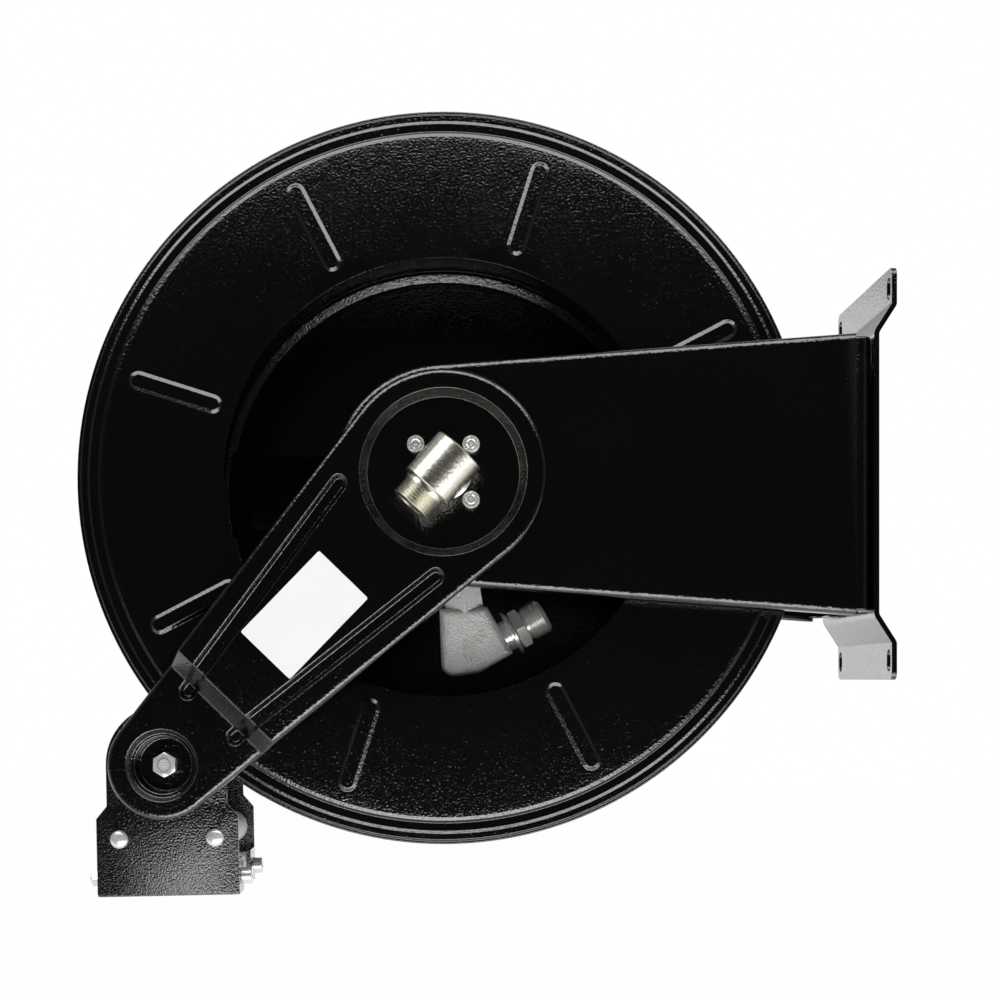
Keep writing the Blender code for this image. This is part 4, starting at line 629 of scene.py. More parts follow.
for (end, turn), opening in zip(SIDES, (DISC_OPENING, ARBOR_HOLE)):
    shape = bmesh.new()
    section = [(p.x - DISC_RADIUS, DISC_FACE + p.y) for p in rounded(RIM_SECTION, RIM_BEND, 4)]
    face, _ = pressed(shape, circle((0, 0), DISC_RADIUS, 192), section)
    hole = ring(shape, circle((0, 0), opening, 160), 0, DISC_FACE)
    openings = [face, hole]
    for i in range(RIB_COUNT):
        angle = RIB_FIRST + 2 * math.pi * i / RIB_COUNT
        ends = [
            (r * math.cos(angle), r * math.sin(angle))
            for r in (RIB_ENDS[0] + RIB_RADIUS, RIB_ENDS[1] - RIB_RADIUS)
        ]
        section = [(out, DISC_FACE - h) for out, h in swage(RIB_RISE, RIB_RUN, RIB_SOFTEN)]
        rim, top = pressed(shape, stadium(*ends, RIB_RADIUS, 14), section)
        filled(shape, top)
        openings.append(rim)
    filled(shape, *openings)
    nodes = [f"drum_disc_{end}"]
    put(f"disc_{end}", "drum", BLACK, shape, nodes, turn, DISC_SHEET, edge=None)


# Barrel: a flat strip punched for the hose and rolled to a drum between the discs.
# It is sheet steel, coated black, and its ends meet in one seam.
BARREL_RADIUS = 0.189
BARREL_SHEET = 0.0015
BARREL_HALF = 0.0592
HOSE_HOLE_ANGLE = math.radians(-13.5)
HOSE_HOLE_RADIUS = 0.018
HOSE_HOLE_RUN = 0.012
HOSE_HOLE_HEIGHT = 0.009
BARREL_STEPS = 144

shape = bmesh.new()
girth = 2 * math.pi * BARREL_RADIUS
corners = [(0, -BARREL_HALF), (girth, -BARREL_HALF), (girth, BARREL_HALF), (0, BARREL_HALF)]
blank = closed_line(shape, [(*p, 0) for p in corners])
middle = girth * (HOSE_HOLE_ANGLE / (2 * math.pi) + 1)
spots = [(middle + way * HOSE_HOLE_RUN, HOSE_HOLE_HEIGHT) for way in (-1, 1)]
punched = ring(shape, stadium(*spots, HOSE_HOLE_RADIUS, 20), 0, 0)
filled(shape, blank, punched)
for i in range(1, BARREL_STEPS):
    sliced(shape, girth * i / BARREL_STEPS)
bmesh.ops.recalc_face_normals(shape, faces=shape.faces)
for point in shape.verts:
    around, height = point.co.x / BARREL_RADIUS, point.co.y
    point.co = (BARREL_RADIUS * math.cos(around), BARREL_RADIUS * math.sin(around), height)
bmesh.ops.remove_doubles(shape, verts=shape.verts, dist=SEAM)
bmesh.ops.recalc_face_normals(shape, faces=shape.faces)
bmesh.ops.solidify(shape, geom=shape.faces, thickness=BARREL_SHEET)
shrink = BARREL_RADIUS / max(math.hypot(v.co.x, v.co.y) for v in shape.verts)
bmesh.ops.scale(shape, verts=shape.verts, vec=(shrink, shrink, 1))
put("barrel", "drum", BLACK, shape, ["drum_barrel"])


# Drum root: the barrel's far edge is turned in to a flange that lies on the far disc.
# It is the same sheet as the barrel, and is drawn at half its thickness, against the barrel's wall.
ROOT_BEND = 0.003
ROOT_TOP = 0.008
ROOT_RISE = 0.0036
ROOT_RUN = 0.0078
ROOT_LIP = 0.014


def lathe(shape, profile, steps):
    """Turns (radius, height) points round the height axis."""
    corners = [shape.verts.new((radius, 0, height)) for radius, height in profile]
    line = [shape.edges.new(pair) for pair in zip(corners, corners[1:])]
    bmesh.ops.spin(
        shape,
        geom=corners + line,
        cent=(0, 0, 0),
        axis=(0, 0, 1),
        angle=2 * math.pi,
        steps=steps,
        use_merge=True,
    )


inner = BARREL_RADIUS - BARREL_SHEET - GAP
low = BARREL_SHEET / 2 - BARREL_HALF
corners = [(inner, low + ROOT_TOP), (inner, low + ROOT_RISE)]
corners += [(inner - ROOT_RUN, low), (inner - ROOT_LIP, low)]
section = [tuple(p) for p in rounded(corners, ROOT_BEND, 5)]
shape = bmesh.new()
lathe(shape, section, 160)
put("barrel_flange", "drum", BLACK, shape, sheet=BARREL_SHEET / 2)


# Outlet box: two plates hung on the arms' tips, with the rollers between them.
# Each has a round head, shoulders and a straight foot with two tabs folded in for the cross bolts.
BOX_OUTER = 0.0515
BOX_SHEET = 0.003
BOX_TURN = math.radians(1.2)
BOX_SHIFT = -0.001
BOX_HALF_WIDTH = 0.0554
BOX_NECK = 0.0470
BOX_SHOULDERS = (0.0419, 0.0321)
BOX_BOTTOM = 0.1029
BOX_CORNER = 0.0025
BOX_EDGE = 0.0008
BOX_EDGE_MIDDLE = 0.3
TAB_DEPTH = 0.027
TAB_TOP = 0.076
TAB_OVERLAP = 0.0004
TIP = (ARM_LENGTH * math.cos(ARM_ANGLE), ARM_LENGTH * math.sin(ARM_ANGLE), 0)
BOX = REEL @ Matrix.Translation(TIP) @ Matrix.Rotation(BOX_TURN, 4, "Z")

for end, turn in (("near", BOX), ("far", BOX @ MIRROR)):
    shape = bmesh.new()
    corners = [
        (BOX_NECK, 0.0),
        (BOX_NECK, -BOX_SHOULDERS[1]),
        (BOX_HALF_WIDTH, -BOX_SHOULDERS[0]),
        (BOX_HALF_WIDTH, -BOX_BOTTOM),
        (0.0, -BOX_BOTTOM),
    ]
    run = rounded(corners, BOX_CORNER, 5)
    side = []
    for i, point in enumerate(run):
        ahead = run[min(i + 1, len(run) - 1)] - run[max(i - 1, 0)]
        normal = Vector((-ahead.y, ahead.x)).normalized()
        side.append((point.x, point.y, normal.x, normal.y))
    head = arc((0, 0), BOX_NECK, 0, math.pi, 64)[1:-1]
    mirror_side = [(-x, y, -nx, ny) for x, y, nx, ny in side]
    outline = head + mirror_side + side[::-1][1:]
    middle = BOX_EDGE_MIDDLE * BOX_EDGE
    section = [(-BOX_EDGE, BOX_OUTER), (-middle, BOX_OUTER - middle)]
    section += [(0, BOX_OUTER - BOX_EDGE), (0, BOX_OUTER - BOX_SHEET + BOX_EDGE / 2)]
    section += [(-BOX_EDGE / 2, BOX_OUTER - BOX_SHEET)]
    outer, inner = pressed(shape, outline, section)
    filled(shape, outer)
    filled(shape, inner)
    for way in (-1, 1):
        middle = (
            way * (BOX_HALF_WIDTH - BOX_SHEET / 2),
            -(BOX_BOTTOM + TAB_TOP) / 2,
            BOX_OUTER - BOX_SHEET - TAB_DEPTH / 2 + TAB_OVERLAP,
        )
        size = Matrix.Diagonal((BOX_SHEET, BOX_BOTTOM - TAB_TOP, TAB_DEPTH, 1))
        bmesh.ops.create_cube(shape, size=1, matrix=Matrix.Translation(middle) @ size)
    bmesh.ops.translate(shape, verts=shape.verts, vec=(BOX_SHIFT, 0, 0))
    nodes = [f"box_plate_{end}"]
    put(f"box_side_{end}", "outlet_box", COARSE_BLACK, shape, nodes, turn)


# Hub screws: four zinc-plated cap screws a side, their heads sunk in the arm's dish.
# A head has a ring of dents round a raised middle with a small centre mark.
HUB_SCREW_CIRCLE = 0.0296
HUB_SCREW_RADIUS = 0.004
HUB_SCREW_HEAD = (0.0065, 0.008)
HUB_SCREW_MIDDLE = (
    (0, 0.0009),
    (0.0006, 0.0009),
    (0.0011, 0.0002),
    (0.0028, 0.0001),
    (0.0034, 0.0006),
)
HUB_SCREW_EDGE = 0.0006
HUB_SCREW_LENGTH = 0.016
DENT_COUNT = 9
DENT_RING = (0.0041, 0.0052)
DENT_FLOOR = 0.0008
DENT_SIZE = (0.0014, 0.0016, 0.0009)
DENT_BANK = 0.0003
DENT_DROP = 0.0006
DISH_FLOOR = ARM_FACE - DISH_DEPTH + GAP


def plated(low, high, rough, scale, depth, metal=1.0):
    """A metal whose colour drifts between two tones, under a grain of its own scale and depth."""

    def inputs_of(place):
        cloud = place.noise(45, 5, 0.6)
        grain = place.noise(scale, 3, 0.6)
        return {
            "Base Color": cloud.mix(low, high),
            "Metallic": metal,
            "Roughness": rough + cloud * 0.14,
            "Normal": place.bump(grain, depth),
        }

    return inputs_of


zinc_plate = plated(
    (0.70, 0.69, 0.67), (0.88, 0.87, 0.85), 0.18, scale=900, depth=0.0001, metal=0.7
)
ZINC = make_finish("zinc_plate", zinc_plate)
radius, height = HUB_SCREW_HEAD
top = DISH_FLOOR + height
head = [(r, top - drop) for r, drop in HUB_SCREW_MIDDLE]
head += [(r, top - DENT_FLOOR) for r in DENT_RING]
head += [
    (DENT_RING[1] + DENT_BANK, top),
    (radius - HUB_SCREW_EDGE, top),
    (radius, top - HUB_SCREW_EDGE),
    (radius, DISH_FLOOR),
    (HUB_SCREW_RADIUS, DISH_FLOOR),
    (HUB_SCREW_RADIUS, DISH_FLOOR - HUB_SCREW_LENGTH),
    (0, DISH_FLOOR - HUB_SCREW_LENGTH),
]
for end, turn in SIDES:
    for i in range(4):
        angle = math.radians(45 + 90 * i)
        spot = (HUB_SCREW_CIRCLE * math.cos(angle), HUB_SCREW_CIRCLE * math.sin(angle), 0)
        shape = bmesh.new()
        lathe(shape, head, 40)
        for j in range(DENT_COUNT):
            around = Matrix.Rotation(2 * math.pi * j / DENT_COUNT + angle, 4, "Z")
            middle = Matrix.Translation((sum(DENT_RING) / 2, 0, top - DENT_DROP))
            dent = around @ middle @ Matrix.Diagonal((*DENT_SIZE, 1))
            bmesh.ops.create_cube(shape, size=1, matrix=dent)
        nodes = [f"hub_screw_{end}_{i + 1}"]
        place = turn @ Matrix.Translation(spot)
        put(f"cap_screw_{end}_{i + 1}", "frame", ZINC, shape, nodes, place, edge=0.00012)


# Swivel inlet: a brass body under satin nickel that turns on the shaft's end, on a round boss.
# Its pipe thread is a separate port screwed into the body's lower end.
SWIVEL_ANGLE = math.radians(228.4)
SWIVEL_HEIGHT = 0.112
SWIVEL_RADIUS = 0.0206
SWIVEL_HALF = 0.01855
SWIVEL_CHAMFER = 0.001
SWIVEL_BORE = 0.009
SWIVEL_SOCKET = (0.0146, 0.0981)
BOSS_RADIUS = 0.022
BOSS_SPAN = (0.0868, 0.0952)
BOSS_EDGE = 0.0006
BOSS_CONE = (0.0015, 0.0012)
PORT_SEAT = (0.01354, 0.0106)
PORT_FIT = 0.0001
PORT_BORE = 0.0115
PORT_END = 0.0371
PORT_COLLAR = (0.0162, 0.0222)
PORT_THREAD = (0.0144, 0.0166)
PORT_LEAD = 0.0003
PIPE_PITCH = 0.00231
PIPE_TURNS = 6
THREAD_SHARES = (0.15, 0.5, 0.65)


def laid(x, y, height, angle):
    """The place of a turned shape whose axis lies along the side view."""
    flat = Matrix.Rotation(angle, 4, "Z") @ Matrix.Rotation(math.pi / 2, 4, "Y")
    return REEL @ Matrix.Translation((x, y, height)) @ flat


def pipe_thread(root, crest, start):
    """The section of a pipe thread, from its first root to its last crest."""
    turns = []
    for i in range(PIPE_TURNS):
        low = start + i * PIPE_PITCH
        root_end, crest_start, crest_end = (low + share * PIPE_PITCH for share in THREAD_SHARES)
        turns += [(root, low), (root, root_end), (crest, crest_start), (crest, crest_end)]
    return turns


def satin_nickel(place):
    cloud = place.noise(60, 4, 0.6)
    grain = place.noise(420, 4, 0.7)
    return {
        "Base Color": cloud.mix((0.68, 0.66, 0.56), (0.82, 0.80, 0.71)),
        "Metallic": 1.0,
        "Roughness": 0.2 + grain * 0.12,
        "Normal": place.bump(grain, 0.0002),
    }


NICKEL = make_finish("satin_nickel", satin_nickel)
shape = bmesh.new()
body = [
    (0, -SWIVEL_HALF),
    (SWIVEL_RADIUS - SWIVEL_CHAMFER, -SWIVEL_HALF),
    (SWIVEL_RADIUS, SWIVEL_CHAMFER - SWIVEL_HALF),
    (SWIVEL_RADIUS, SWIVEL_HALF - SWIVEL_CHAMFER),
    (SWIVEL_RADIUS - SWIVEL_CHAMFER, SWIVEL_HALF),
    (PORT_SEAT[0], SWIVEL_HALF),
    PORT_SEAT,
    (SWIVEL_BORE, PORT_SEAT[1]),
    (SWIVEL_BORE, -SWIVEL_BORE),
    (0, -SWIVEL_BORE),
]
lathe(shape, body, 96)
place = laid(0, 0, SWIVEL_HEIGHT, SWIVEL_ANGLE)
put("swivel_barrel", "inlet", NICKEL, shape, [], place)
shape = bmesh.new()
boss = [
    (SWIVEL_SOCKET[0], BOSS_SPAN[0]),
    (BOSS_RADIUS - BOSS_EDGE, BOSS_SPAN[0]),
    (BOSS_RADIUS, BOSS_SPAN[0] + BOSS_EDGE),
    (BOSS_RADIUS, BOSS_SPAN[1]),
    (BOSS_RADIUS - BOSS_CONE[0], BOSS_SPAN[1] + BOSS_CONE[1]),
    SWIVEL_SOCKET,
    (SWIVEL_SOCKET[0], BOSS_SPAN[0]),
]
lathe(shape, boss, 96)
put("swivel_boss", "inlet", NICKEL, shape, ["swivel_body"])
shape = bmesh.new()
port = [
    (PORT_BORE, PORT_SEAT[1] + GAP),
    (PORT_SEAT[0] - PORT_FIT, PORT_SEAT[1] + GAP),
    (PORT_SEAT[0] - PORT_FIT, SWIVEL_HALF + GAP),
    (PORT_COLLAR[0], SWIVEL_HALF + GAP),
    PORT_COLLAR,
]
port += pipe_thread(*PORT_THREAD, PORT_COLLAR[1] + GAP)
port += [(PORT_THREAD[0] - PORT_LEAD, PORT_END), (PORT_BORE, PORT_END), port[0]]
lathe(shape, port, 96)
put("swivel_thread", "inlet", NICKEL, shape, ["swivel_port"], place, edge=0.00015)


# Riser and elbow: a steel pipe down from the shaft and a forged elbow screwed on to it, all zinc
# plated, with a hex adapter and washer in the elbow's mouth for the hose.
RISER_ANGLE = math.radians(-80.5)
RISER_HEIGHT = 0.009
RISER_RADIUS = 0.0135
RISER_BORE = 0.010
RISER_SPAN = (0.0138, 0.0935)
ELBOW_HALF = 0.018
ELBOW_NECK = (0.0172, 0.0825, 0.1110)
ELBOW_CORNERS = ((-0.0035, -0.1005), (0.0557, -0.1357), (0.0345, -0.0985))
ELBOW_HEEL = (0.0085, -0.1440, 0.0105)
ELBOW_HEEL_TURN = (math.radians(184), math.radians(276))
ELBOW_UNDERSIDE = (0.0289, -0.1513)
ELBOW_ROUND = 0.0085
NIPPLE_AT = (0.0480, -0.1233)
NIPPLE_ANGLE = math.radians(29.8)
NIPPLE_ROOT = 0.0127
NIPPLE_BORE = 0.009
NIPPLE_HEX = (0.018, 0.0103, 0.0197)
NIPPLE_HEX_SINK = 0.0005
NIPPLE_NECK = (0.0020, 0.0022)
NIPPLE_THREAD = (0.0129, 0.0150)
NIPPLE_END = 0.0382
WASHER = (0.0192, 0.0070, 0.0100)
WASHER_GAP = 0.0002
WASHER_STEP = 0.0012
CROWN = (0.97, 0.55)


def nut(shape, radius, low, high, bore, turn=0.0, crowns=(1,)):
    """A hexagon, its corners turned off at the crowned ends: 1 is the high end, -1 the low one."""
    steps = 48
    across = radius * math.cos(math.pi / 6)
    share, slope = CROWN
    hexagon = []
    for i in range(steps):
        angle = 2 * math.pi * i / steps + turn
        reach = across / math.cos((angle - turn) % (math.pi / 3) - math.pi / 6)
        nx, ny = math.cos(angle), math.sin(angle)
        hexagon.append((reach * nx, reach * ny, nx, ny))
    turned = [
        (x * math.cos(turn) - y * math.sin(turn), x * math.sin(turn) + y * math.cos(turn), 0, 0)
        for x, y, _, _ in circle((0, 0), across * share, steps)
    ]
    walls, eyes = [], []
    for end, level in ((-1, low), (1, high)):
        wall = ring(shape, hexagon, 0, level)
        if end in crowns:
            for edge in wall:
                corner = edge.verts[0]
                corner.co.z -= end * (math.hypot(*corner.co.xy) - across * share) * slope
        crown = ring(shape, turned, 0, level)
        eye = ring(shape, circle((0, 0), bore, 24), 0, level)
        filled(shape, crown, eye)
        walled(shape, wall, crown)
        walls.append(wall)
        eyes.append(eye)
    walled(shape, *walls)
    walled(shape, *eyes)


forged_zinc = plated(
    (0.72, 0.72, 0.70), (0.97, 0.97, 0.95), 0.22, scale=640, depth=0.002, metal=0.35
)
FORGED = make_finish("forged_zinc", forged_zinc)
shape = bmesh.new()
riser = [(RISER_BORE, z) for z in RISER_SPAN] + [(RISER_RADIUS, z) for z in RISER_SPAN[::-1]]
lathe(shape, riser + riser[:1], 64)
place = laid(0, 0, RISER_HEIGHT, RISER_ANGLE)
put("riser", "drum", ZINC, shape, ["riser_pipe"], place)

shape = bmesh.new()
nut(shape, *ELBOW_NECK, RISER_RADIUS + GAP, crowns=(-1,))
put("elbow_hexagon", "drum", FORGED, shape, [], place)
shape = bmesh.new()
*heel, heel_radius = ELBOW_HEEL
side = [(x, y) for x, y, _, _ in arc(heel, heel_radius, *ELBOW_HEEL_TURN, 10)]
outline = [ELBOW_CORNERS[0], *side, ELBOW_UNDERSIDE, *ELBOW_CORNERS[1:]]
base = shape.faces.new([shape.verts.new((*p, -ELBOW_HALF)) for p in outline])
raised = bmesh.ops.extrude_face_region(shape, geom=[base], use_keep_orig=True)["geom"]
moved = [v for v in raised if isinstance(v, bmesh.types.BMVert)]
bmesh.ops.translate(shape, verts=moved, vec=(0, 0, 2 * ELBOW_HALF))
bmesh.ops.recalc_face_normals(shape, faces=shape.faces)
across = [e for e in shape.edges if abs(e.verts[0].co.z - e.verts[1].co.z) < SAME_POINT]
bmesh.ops.bevel(
    shape, geom=across, offset=ELBOW_ROUND, segments=6, profile=0.5, affect="EDGES", material=-1
)
place = REEL @ Matrix.Translation((0, 0, RISER_HEIGHT))
put("elbow_forging", "drum", FORGED, shape, ["elbow"], place, edge=0.0012)

place = laid(*NIPPLE_AT, RISER_HEIGHT, NIPPLE_ANGLE)
shape = bmesh.new()
adapter = [(NIPPLE_BORE, -NIPPLE_ROOT), (NIPPLE_ROOT, -NIPPLE_ROOT)]
adapter += [(NIPPLE_ROOT, NIPPLE_HEX[2] + NIPPLE_NECK[0])]
adapter += pipe_thread(*NIPPLE_THREAD, NIPPLE_HEX[2] + NIPPLE_NECK[1])
adapter += [(NIPPLE_THREAD[0], NIPPLE_END), (NIPPLE_BORE, NIPPLE_END), adapter[0]]
lathe(shape, adapter, 80)
nut(shape, *NIPPLE_HEX, NIPPLE_ROOT - NIPPLE_HEX_SINK, crowns=(1, -1))
put("hose_adapter", "drum", ZINC, shape, ["outlet_adapter"], place, edge=0.00015)
for i, nodes in enumerate(([], ["adapter_washer"])):
    shape = bmesh.new()
    low = WASHER[1] + i * (WASHER[2] - WASHER[1]) / 2
    high = low + (WASHER[2] - WASHER[1]) / 2 - WASHER_GAP
    wide = WASHER[0] - i * WASHER_STEP
    washer = [(NIPPLE_ROOT + WASHER_GAP, z) for z in (low, high)] + [(wide, high), (wide, low)]
    lathe(shape, washer + washer[:1], 64)
    put(f"seal_washer_{i + 1}", "drum", ZINC, shape, nodes, place, edge=0.0002)


# Shaft and bearings: a stepped zinc-plated shaft bored from its near end, turning in two bronze
# bushes that are pressed into a flange on the near panel and the spring's arbor on the far one.
SHAFT_RADIUS = 0.014
SHAFT_ENDS = (-0.0890, 0.0975)
SHAFT_BORE = (0.009, -0.006)
SHAFT_CHAMFER = 0.0008
SHAFT_CENTRE = (0.003, 0.0025)
COLLAR = (0.030, -0.0122, -0.0072)
FLANGE_TOP = 0.0797
FLANGE_LOW = 0.0670
FLANGE_RADIUS = 0.040
BUSH_RADIUS = 0.0181
ARBOR = (0.020, 0.025, 0.0200)
PLAY = 0.0006

bronze = plated((0.42, 0.27, 0.11), (0.58, 0.40, 0.19), 0.25, scale=700, depth=0.0001)
BRONZE = make_finish("bronze", bronze)
shaft = [
    (0, SHAFT_BORE[1]),
    SHAFT_BORE,
    (SHAFT_BORE[0], SHAFT_ENDS[1]),
    (SHAFT_RADIUS - SHAFT_CHAMFER, SHAFT_ENDS[1]),
    (SHAFT_RADIUS, SHAFT_ENDS[1] - SHAFT_CHAMFER),
    (SHAFT_RADIUS, COLLAR[2]),
    (COLLAR[0] - SHAFT_CHAMFER, COLLAR[2]),
    (COLLAR[0], COLLAR[2] - SHAFT_CHAMFER),
    (COLLAR[0], COLLAR[1] + SHAFT_CHAMFER),
    (COLLAR[0] - SHAFT_CHAMFER, COLLAR[1]),
    (SHAFT_RADIUS, COLLAR[1]),
    (SHAFT_RADIUS, SHAFT_ENDS[0] + SHAFT_CHAMFER),
    (SHAFT_RADIUS - SHAFT_CHAMFER, SHAFT_ENDS[0]),
    (SHAFT_CENTRE[0], SHAFT_ENDS[0]),
    (0, SHAFT_ENDS[0] + SHAFT_CENTRE[1]),
]
bush = [
    (SHAFT_RADIUS + PLAY, FLANGE_LOW),
    (SHAFT_RADIUS + PLAY, FLANGE_TOP),
    (BUSH_RADIUS - GAP, FLANGE_TOP),
    (BUSH_RADIUS - GAP, FLANGE_LOW),
    (SHAFT_RADIUS + PLAY, FLANGE_LOW),
]
flange = [
    (BUSH_RADIUS, FLANGE_LOW),
    (BUSH_RADIUS, FLANGE_TOP),
    (FLANGE_RADIUS, FLANGE_TOP),
    (FLANGE_RADIUS, FLANGE_LOW + SHAFT_CHAMFER),
    (FLANGE_RADIUS - SHAFT_CHAMFER, FLANGE_LOW),
    (BUSH_RADIUS, FLANGE_LOW),
]
arbor = [
    (BUSH_RADIUS, FLANGE_LOW),
    (BUSH_RADIUS, FLANGE_TOP),
    (FLANGE_RADIUS, FLANGE_TOP),
    (FLANGE_RADIUS, FLANGE_LOW),
    (ARBOR[1], FLANGE_LOW),
    (ARBOR[1], ARBOR[2] + SHAFT_CHAMFER),
    (ARBOR[1] - SHAFT_CHAMFER, ARBOR[2]),
    (ARBOR[0], ARBOR[2]),
    (ARBOR[0], FLANGE_LOW),
    (BUSH_RADIUS, FLANGE_LOW),
]
for name, profile, body, slot, finish, node, turn in (
    ("shaft", shaft, "drum", "zinc", ZINC, "main_shaft", REEL),
    ("flange", flange, "frame", "zinc", ZINC, "bearing_flange_near", REEL),
    ("arbor", arbor, "frame", "zinc", ZINC, "spring_arbor", REEL @ MIRROR),
    ("bush_near", bush, "frame", "bronze", BRONZE, "bearing_bush_near", REEL),
    ("bush_far", bush, "frame", "bronze", BRONZE, "bearing_bush_far", REEL @ MIRROR),
):
    shape = bmesh.new()
    lathe(shape, profile, 80)
    put(name, body, finish, shape, [node], turn, edge=None)


# Spring case: a drawn cup on the cross member, closed by a cover on the shaft's collar, and the
# flat spring coiled inside it. Both halves are coated black.
CASE_RADIUS = 0.088
CASE_BACK = -0.0509
CASE_FRONT = -0.0145
CASE_SHEET = 0.002
CASE_BEND = 0.005
COVER_EDGE = 0.0005

bend = [
    (CASE_RADIUS - CASE_BEND * (1 - math.sin(a)), CASE_BACK + CASE_BEND * (1 - math.cos(a)))
    for a in (math.pi / 2 * i / 6 for i in range(7))
]
inner = CASE_RADIUS - CASE_SHEET
cup = [(ARBOR_HOLE, CASE_BACK)] + bend + [(CASE_RADIUS, CASE_FRONT - GAP)]
cup += [(inner, CASE_FRONT - GAP), (inner, CASE_BACK + CASE_BEND)]
cup += [(CASE_RADIUS - CASE_BEND, CASE_BACK + CASE_SHEET)]
cup += [(ARBOR_HOLE, CASE_BACK + CASE_SHEET), (ARBOR_HOLE, CASE_BACK)]
cover_top = CASE_FRONT + CASE_SHEET
cover = [
    (SHAFT_RADIUS + GAP, CASE_FRONT),
    (CASE_RADIUS - COVER_EDGE, CASE_FRONT),
    (CASE_RADIUS, CASE_FRONT + COVER_EDGE),
    (CASE_RADIUS, cover_top - COVER_EDGE),
    (CASE_RADIUS - COVER_EDGE, cover_top),
    (SHAFT_RADIUS + GAP, cover_top),
    (SHAFT_RADIUS + GAP, CASE_FRONT),
]
for name, profile, node in (
    ("case_cup", cup, "spring_case"),
    ("case_cover", cover, "spring_case_cover"),
):
    shape = bmesh.new()
    lathe(shape, profile, 120)
    put(name, "drum", BLACK, shape, [node], edge=None)


# Outlet rollers: white nylon, two upright on axles with domed heads and clips, two across on bolts
# through the plates' tabs.
ROLLER_DROP = 0.058
ROLLER_SIDE = 0.0373
ROLLER_RADIUS = 0.013
ROLLER_ROUND = 8
AXLE_RADIUS = 0.005
AXLE_HEAD = (0.0071, 0.0045)
AXLE_HEAD_RIM = 0.25
AXLE_CHAMFER = 0.0005
CLIP_FIT = 0.0002
CROSS_DROP = 0.0899
CROSS_HEIGHT = 0.035
CROSS_RADIUS = 0.011
CROSS_BOLT = 0.004
CROSS_HEAD = (0.0066, 0.008)
CROSS_SOCKET = (0.0022, 0.0026, 0.6)
CROSS_CHAMFER = 0.0006
CROSS_NUT_SHARE = 0.8


def nylon(place):
    grain = place.noise(500, 2)
    cloud = place.noise(25, 3)
    return {
        "Base Color": cloud.mix((0.78, 0.78, 0.77), (0.87, 0.87, 0.86)),
        "Roughness": 0.30 + grain * 0.15,
        "Normal": place.bump(grain, 0.0001, 0.4),
    }


def roller(shape, radius, axle, half):
    """A nylon sleeve with rounded ends."""
    eye, soft = axle + PLAY, radius / ROLLER_ROUND
    turn = [
        (radius - soft * (1 - math.sin(a)), half - soft * (1 - math.cos(a)))
        for a in (math.pi / 2 * i / 4 for i in range(5))
    ]
    section = [(eye, half)] + turn + [(r, -z) for r, z in reversed(turn)]
    lathe(shape, section + [(eye, -half), (eye, half)], 64)


NYLON = make_finish("white_nylon", nylon)
bright_steel = plated(
    (0.72, 0.72, 0.72), (0.88, 0.88, 0.88), 0.16, scale=900, depth=0.00005, metal=0.5
)
STEEL = make_finish("bright_steel", bright_steel)
under = BOX_OUTER + GAP
dome_radius, dome = AXLE_HEAD
head = [
    (dome_radius * math.sin(a), under + dome * (AXLE_HEAD_RIM + (1 - AXLE_HEAD_RIM) * math.cos(a)))
    for a in (math.pi / 2 * i / 9 for i in range(10))
]
end = -under - dome
axle = head + [(dome_radius, under), (AXLE_RADIUS, under), (AXLE_RADIUS, end + AXLE_CHAMFER)]
axle += [(AXLE_RADIUS - AXLE_CHAMFER, end), (0, end)]
clip = [(AXLE_RADIUS + CLIP_FIT, -under), (dome_radius, -under), (dome_radius, -under - dome / 2)]
clip += [(AXLE_RADIUS + CLIP_FIT, -under - dome / 2), clip[0]]
for name, x in (("left", -ROLLER_SIDE), ("right", ROLLER_SIDE)):
    place = BOX @ Matrix.Translation((x + BOX_SHIFT, -ROLLER_DROP, 0))
    shape = bmesh.new()
    lathe(shape, axle, 48)
    nodes = [f"roller_axle_{name}"]
    put(f"axle_{name}", "outlet_box", STEEL, shape, nodes, place, edge=None)
    shape = bmesh.new()
    lathe(shape, clip, 48)
    put(f"clip_{name}", "outlet_box", STEEL, shape, [f"axle_clip_{name}"], place)
    shape = bmesh.new()
    roller(shape, ROLLER_RADIUS, AXLE_RADIUS, BOX_OUTER - BOX_SHEET - PLAY)
    body = f"roller_{name}"
    put(f"sleeve_{name}", body, NYLON, shape, [body], place, edge=None)

under = BOX_HALF_WIDTH + GAP
wide, tall = CROSS_HEAD
end = -BOX_HALF_WIDTH - tall
floor_radius, mouth_radius, floor_share = CROSS_SOCKET
cap = [
    (0, under + floor_share * tall),
    (floor_radius, under + floor_share * tall),
    (mouth_radius, under + tall),
    (wide - CROSS_CHAMFER, under + tall),
    (wide, under + tall - CROSS_CHAMFER),
    (wide, under),
    (CROSS_BOLT, under),
    (CROSS_BOLT, end + CROSS_CHAMFER),
    (CROSS_BOLT - CROSS_CHAMFER, end),
    (0, end),
]
for name, height in (("near", CROSS_HEIGHT), ("far", -CROSS_HEIGHT)):
    spot = Matrix.Translation((BOX_SHIFT, -CROSS_DROP, height))
    place = BOX @ spot @ Matrix.Rotation(math.pi / 2, 4, "Y")
    shape = bmesh.new()
    lathe(shape, cap, 40)
    nodes = [f"cross_bolt_{name}"]
    put(f"bolt_{name}", "outlet_box", ZINC, shape, nodes, place, edge=0.0002)
    shape = bmesh.new()
    nut(shape, wide, -under - CROSS_NUT_SHARE * tall, -under, CROSS_BOLT + GAP, crowns=(-1,))
    put(f"nut_{name}", "outlet_box", ZINC, shape, [f"cross_nut_{name}"], place, edge=None)
    shape = bmesh.new()
    roller(shape, CROSS_RADIUS, CROSS_BOLT, BOX_HALF_WIDTH - BOX_SHEET - PLAY)
    body = f"cross_roller_{name}"
    put(f"cross_sleeve_{name}", body, NYLON, shape, [body], place, edge=None)


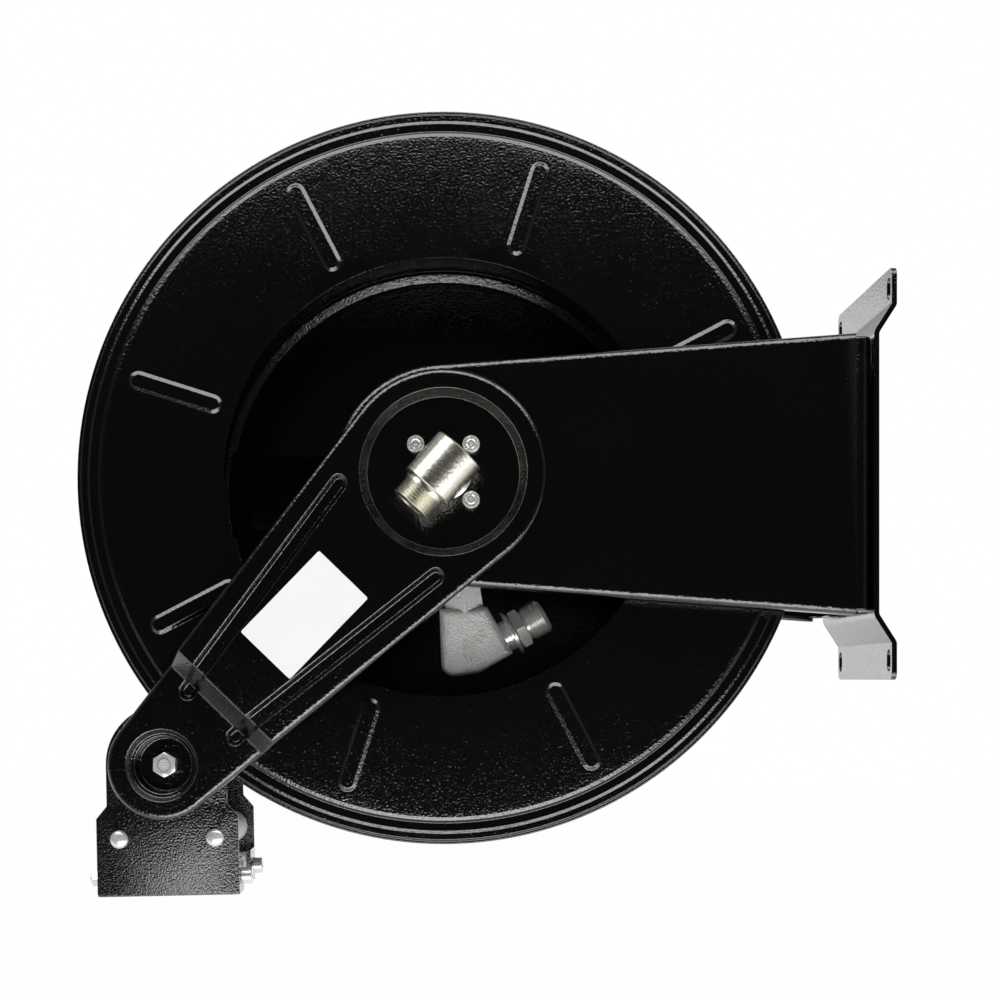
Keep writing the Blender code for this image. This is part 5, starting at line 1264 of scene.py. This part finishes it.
# Pivot bolts: the outlet box hangs on two, headed inside its plates, with a nut in each arm's cup.
# They are polished steel, with a small turned centre that shows in the nut.
PIVOT_RADIUS = 0.005
PIVOT_NUT = (0.0098, 0.0548, 0.0648)
PIVOT_END = 0.0673
PIVOT_CENTRE = (0.0012, 0.0018, 0.0006)
PIVOT_CHAMFER = 0.0012
PIVOT_HEAD = (0.0098, 0.0412, 0.0482)
PIVOT_HEAD_EDGES = (0.0005, 0.001)

floor_radius, mouth_radius, depth = PIVOT_CENTRE
point = [(0, PIVOT_END - depth), (floor_radius, PIVOT_END - depth), (mouth_radius, PIVOT_END)]
point += [(PIVOT_RADIUS - PIVOT_CHAMFER, PIVOT_END), (PIVOT_RADIUS, PIVOT_END - PIVOT_CHAMFER)]
wide, low, high = PIVOT_HEAD
inside, outside = PIVOT_HEAD_EDGES
head = [(PIVOT_RADIUS, high), (wide - inside, high), (wide, high - inside)]
head += [(wide, low + outside), (wide - outside, low), (0, low)]
for end, turn in SIDES:
    place = turn @ Matrix.Translation(TIP)
    shape = bmesh.new()
    nut(shape, *PIVOT_NUT, PIVOT_RADIUS + GAP, turn=math.pi / 6)
    nodes = [f"pivot_nut_{end}"]
    put(f"pivot_nut_crown_{end}", "frame", STEEL, shape, nodes, place, edge=None)
    shape = bmesh.new()
    lathe(shape, point + head, 48)
    nodes = [f"pivot_bolt_{end}"]
    put(f"pivot_shank_{end}", "frame", STEEL, shape, nodes, place, edge=None)


# Flat parts inside and behind the drum: the cross member, the ratchet ring, its pawl and pin, and
# the spring. Their cut and folded shapes are the model's own, with the edges broken on all but the
# spring.
FLAT = math.radians(1)

spring_strip = plated((0.07, 0.07, 0.08), (0.13, 0.13, 0.14), 0.3, scale=700, depth=0.0001)
SPRING_STEEL = make_finish("spring_steel", spring_strip)
for name, body, slot, finish, node, edge in (
    ("cross_bar", "drum", "black_coat", BLACK, "drum_cross_member", 0.0004),
    ("ratchet_wheel", "drum", "zinc", ZINC, "ratchet_ring", 0.0004),
    ("pawl_lever", "pawl", "zinc", ZINC, "pawl", 0.0004),
    ("pawl_stud", "frame", "zinc", ZINC, "pawl_pin", 0.0003),
    ("coil_spring", "drum", "spring_steel", SPRING_STEEL, "main_spring", None),
):
    shape = bmesh.new()
    shape.from_mesh(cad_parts[node].data)
    bmesh.ops.remove_doubles(shape, verts=shape.verts, dist=SAME_POINT)
    bmesh.ops.dissolve_limit(shape, angle_limit=FLAT, verts=shape.verts, edges=shape.edges)
    put(name, body, finish, shape, [node], Matrix.Identity(4), edge=edge)
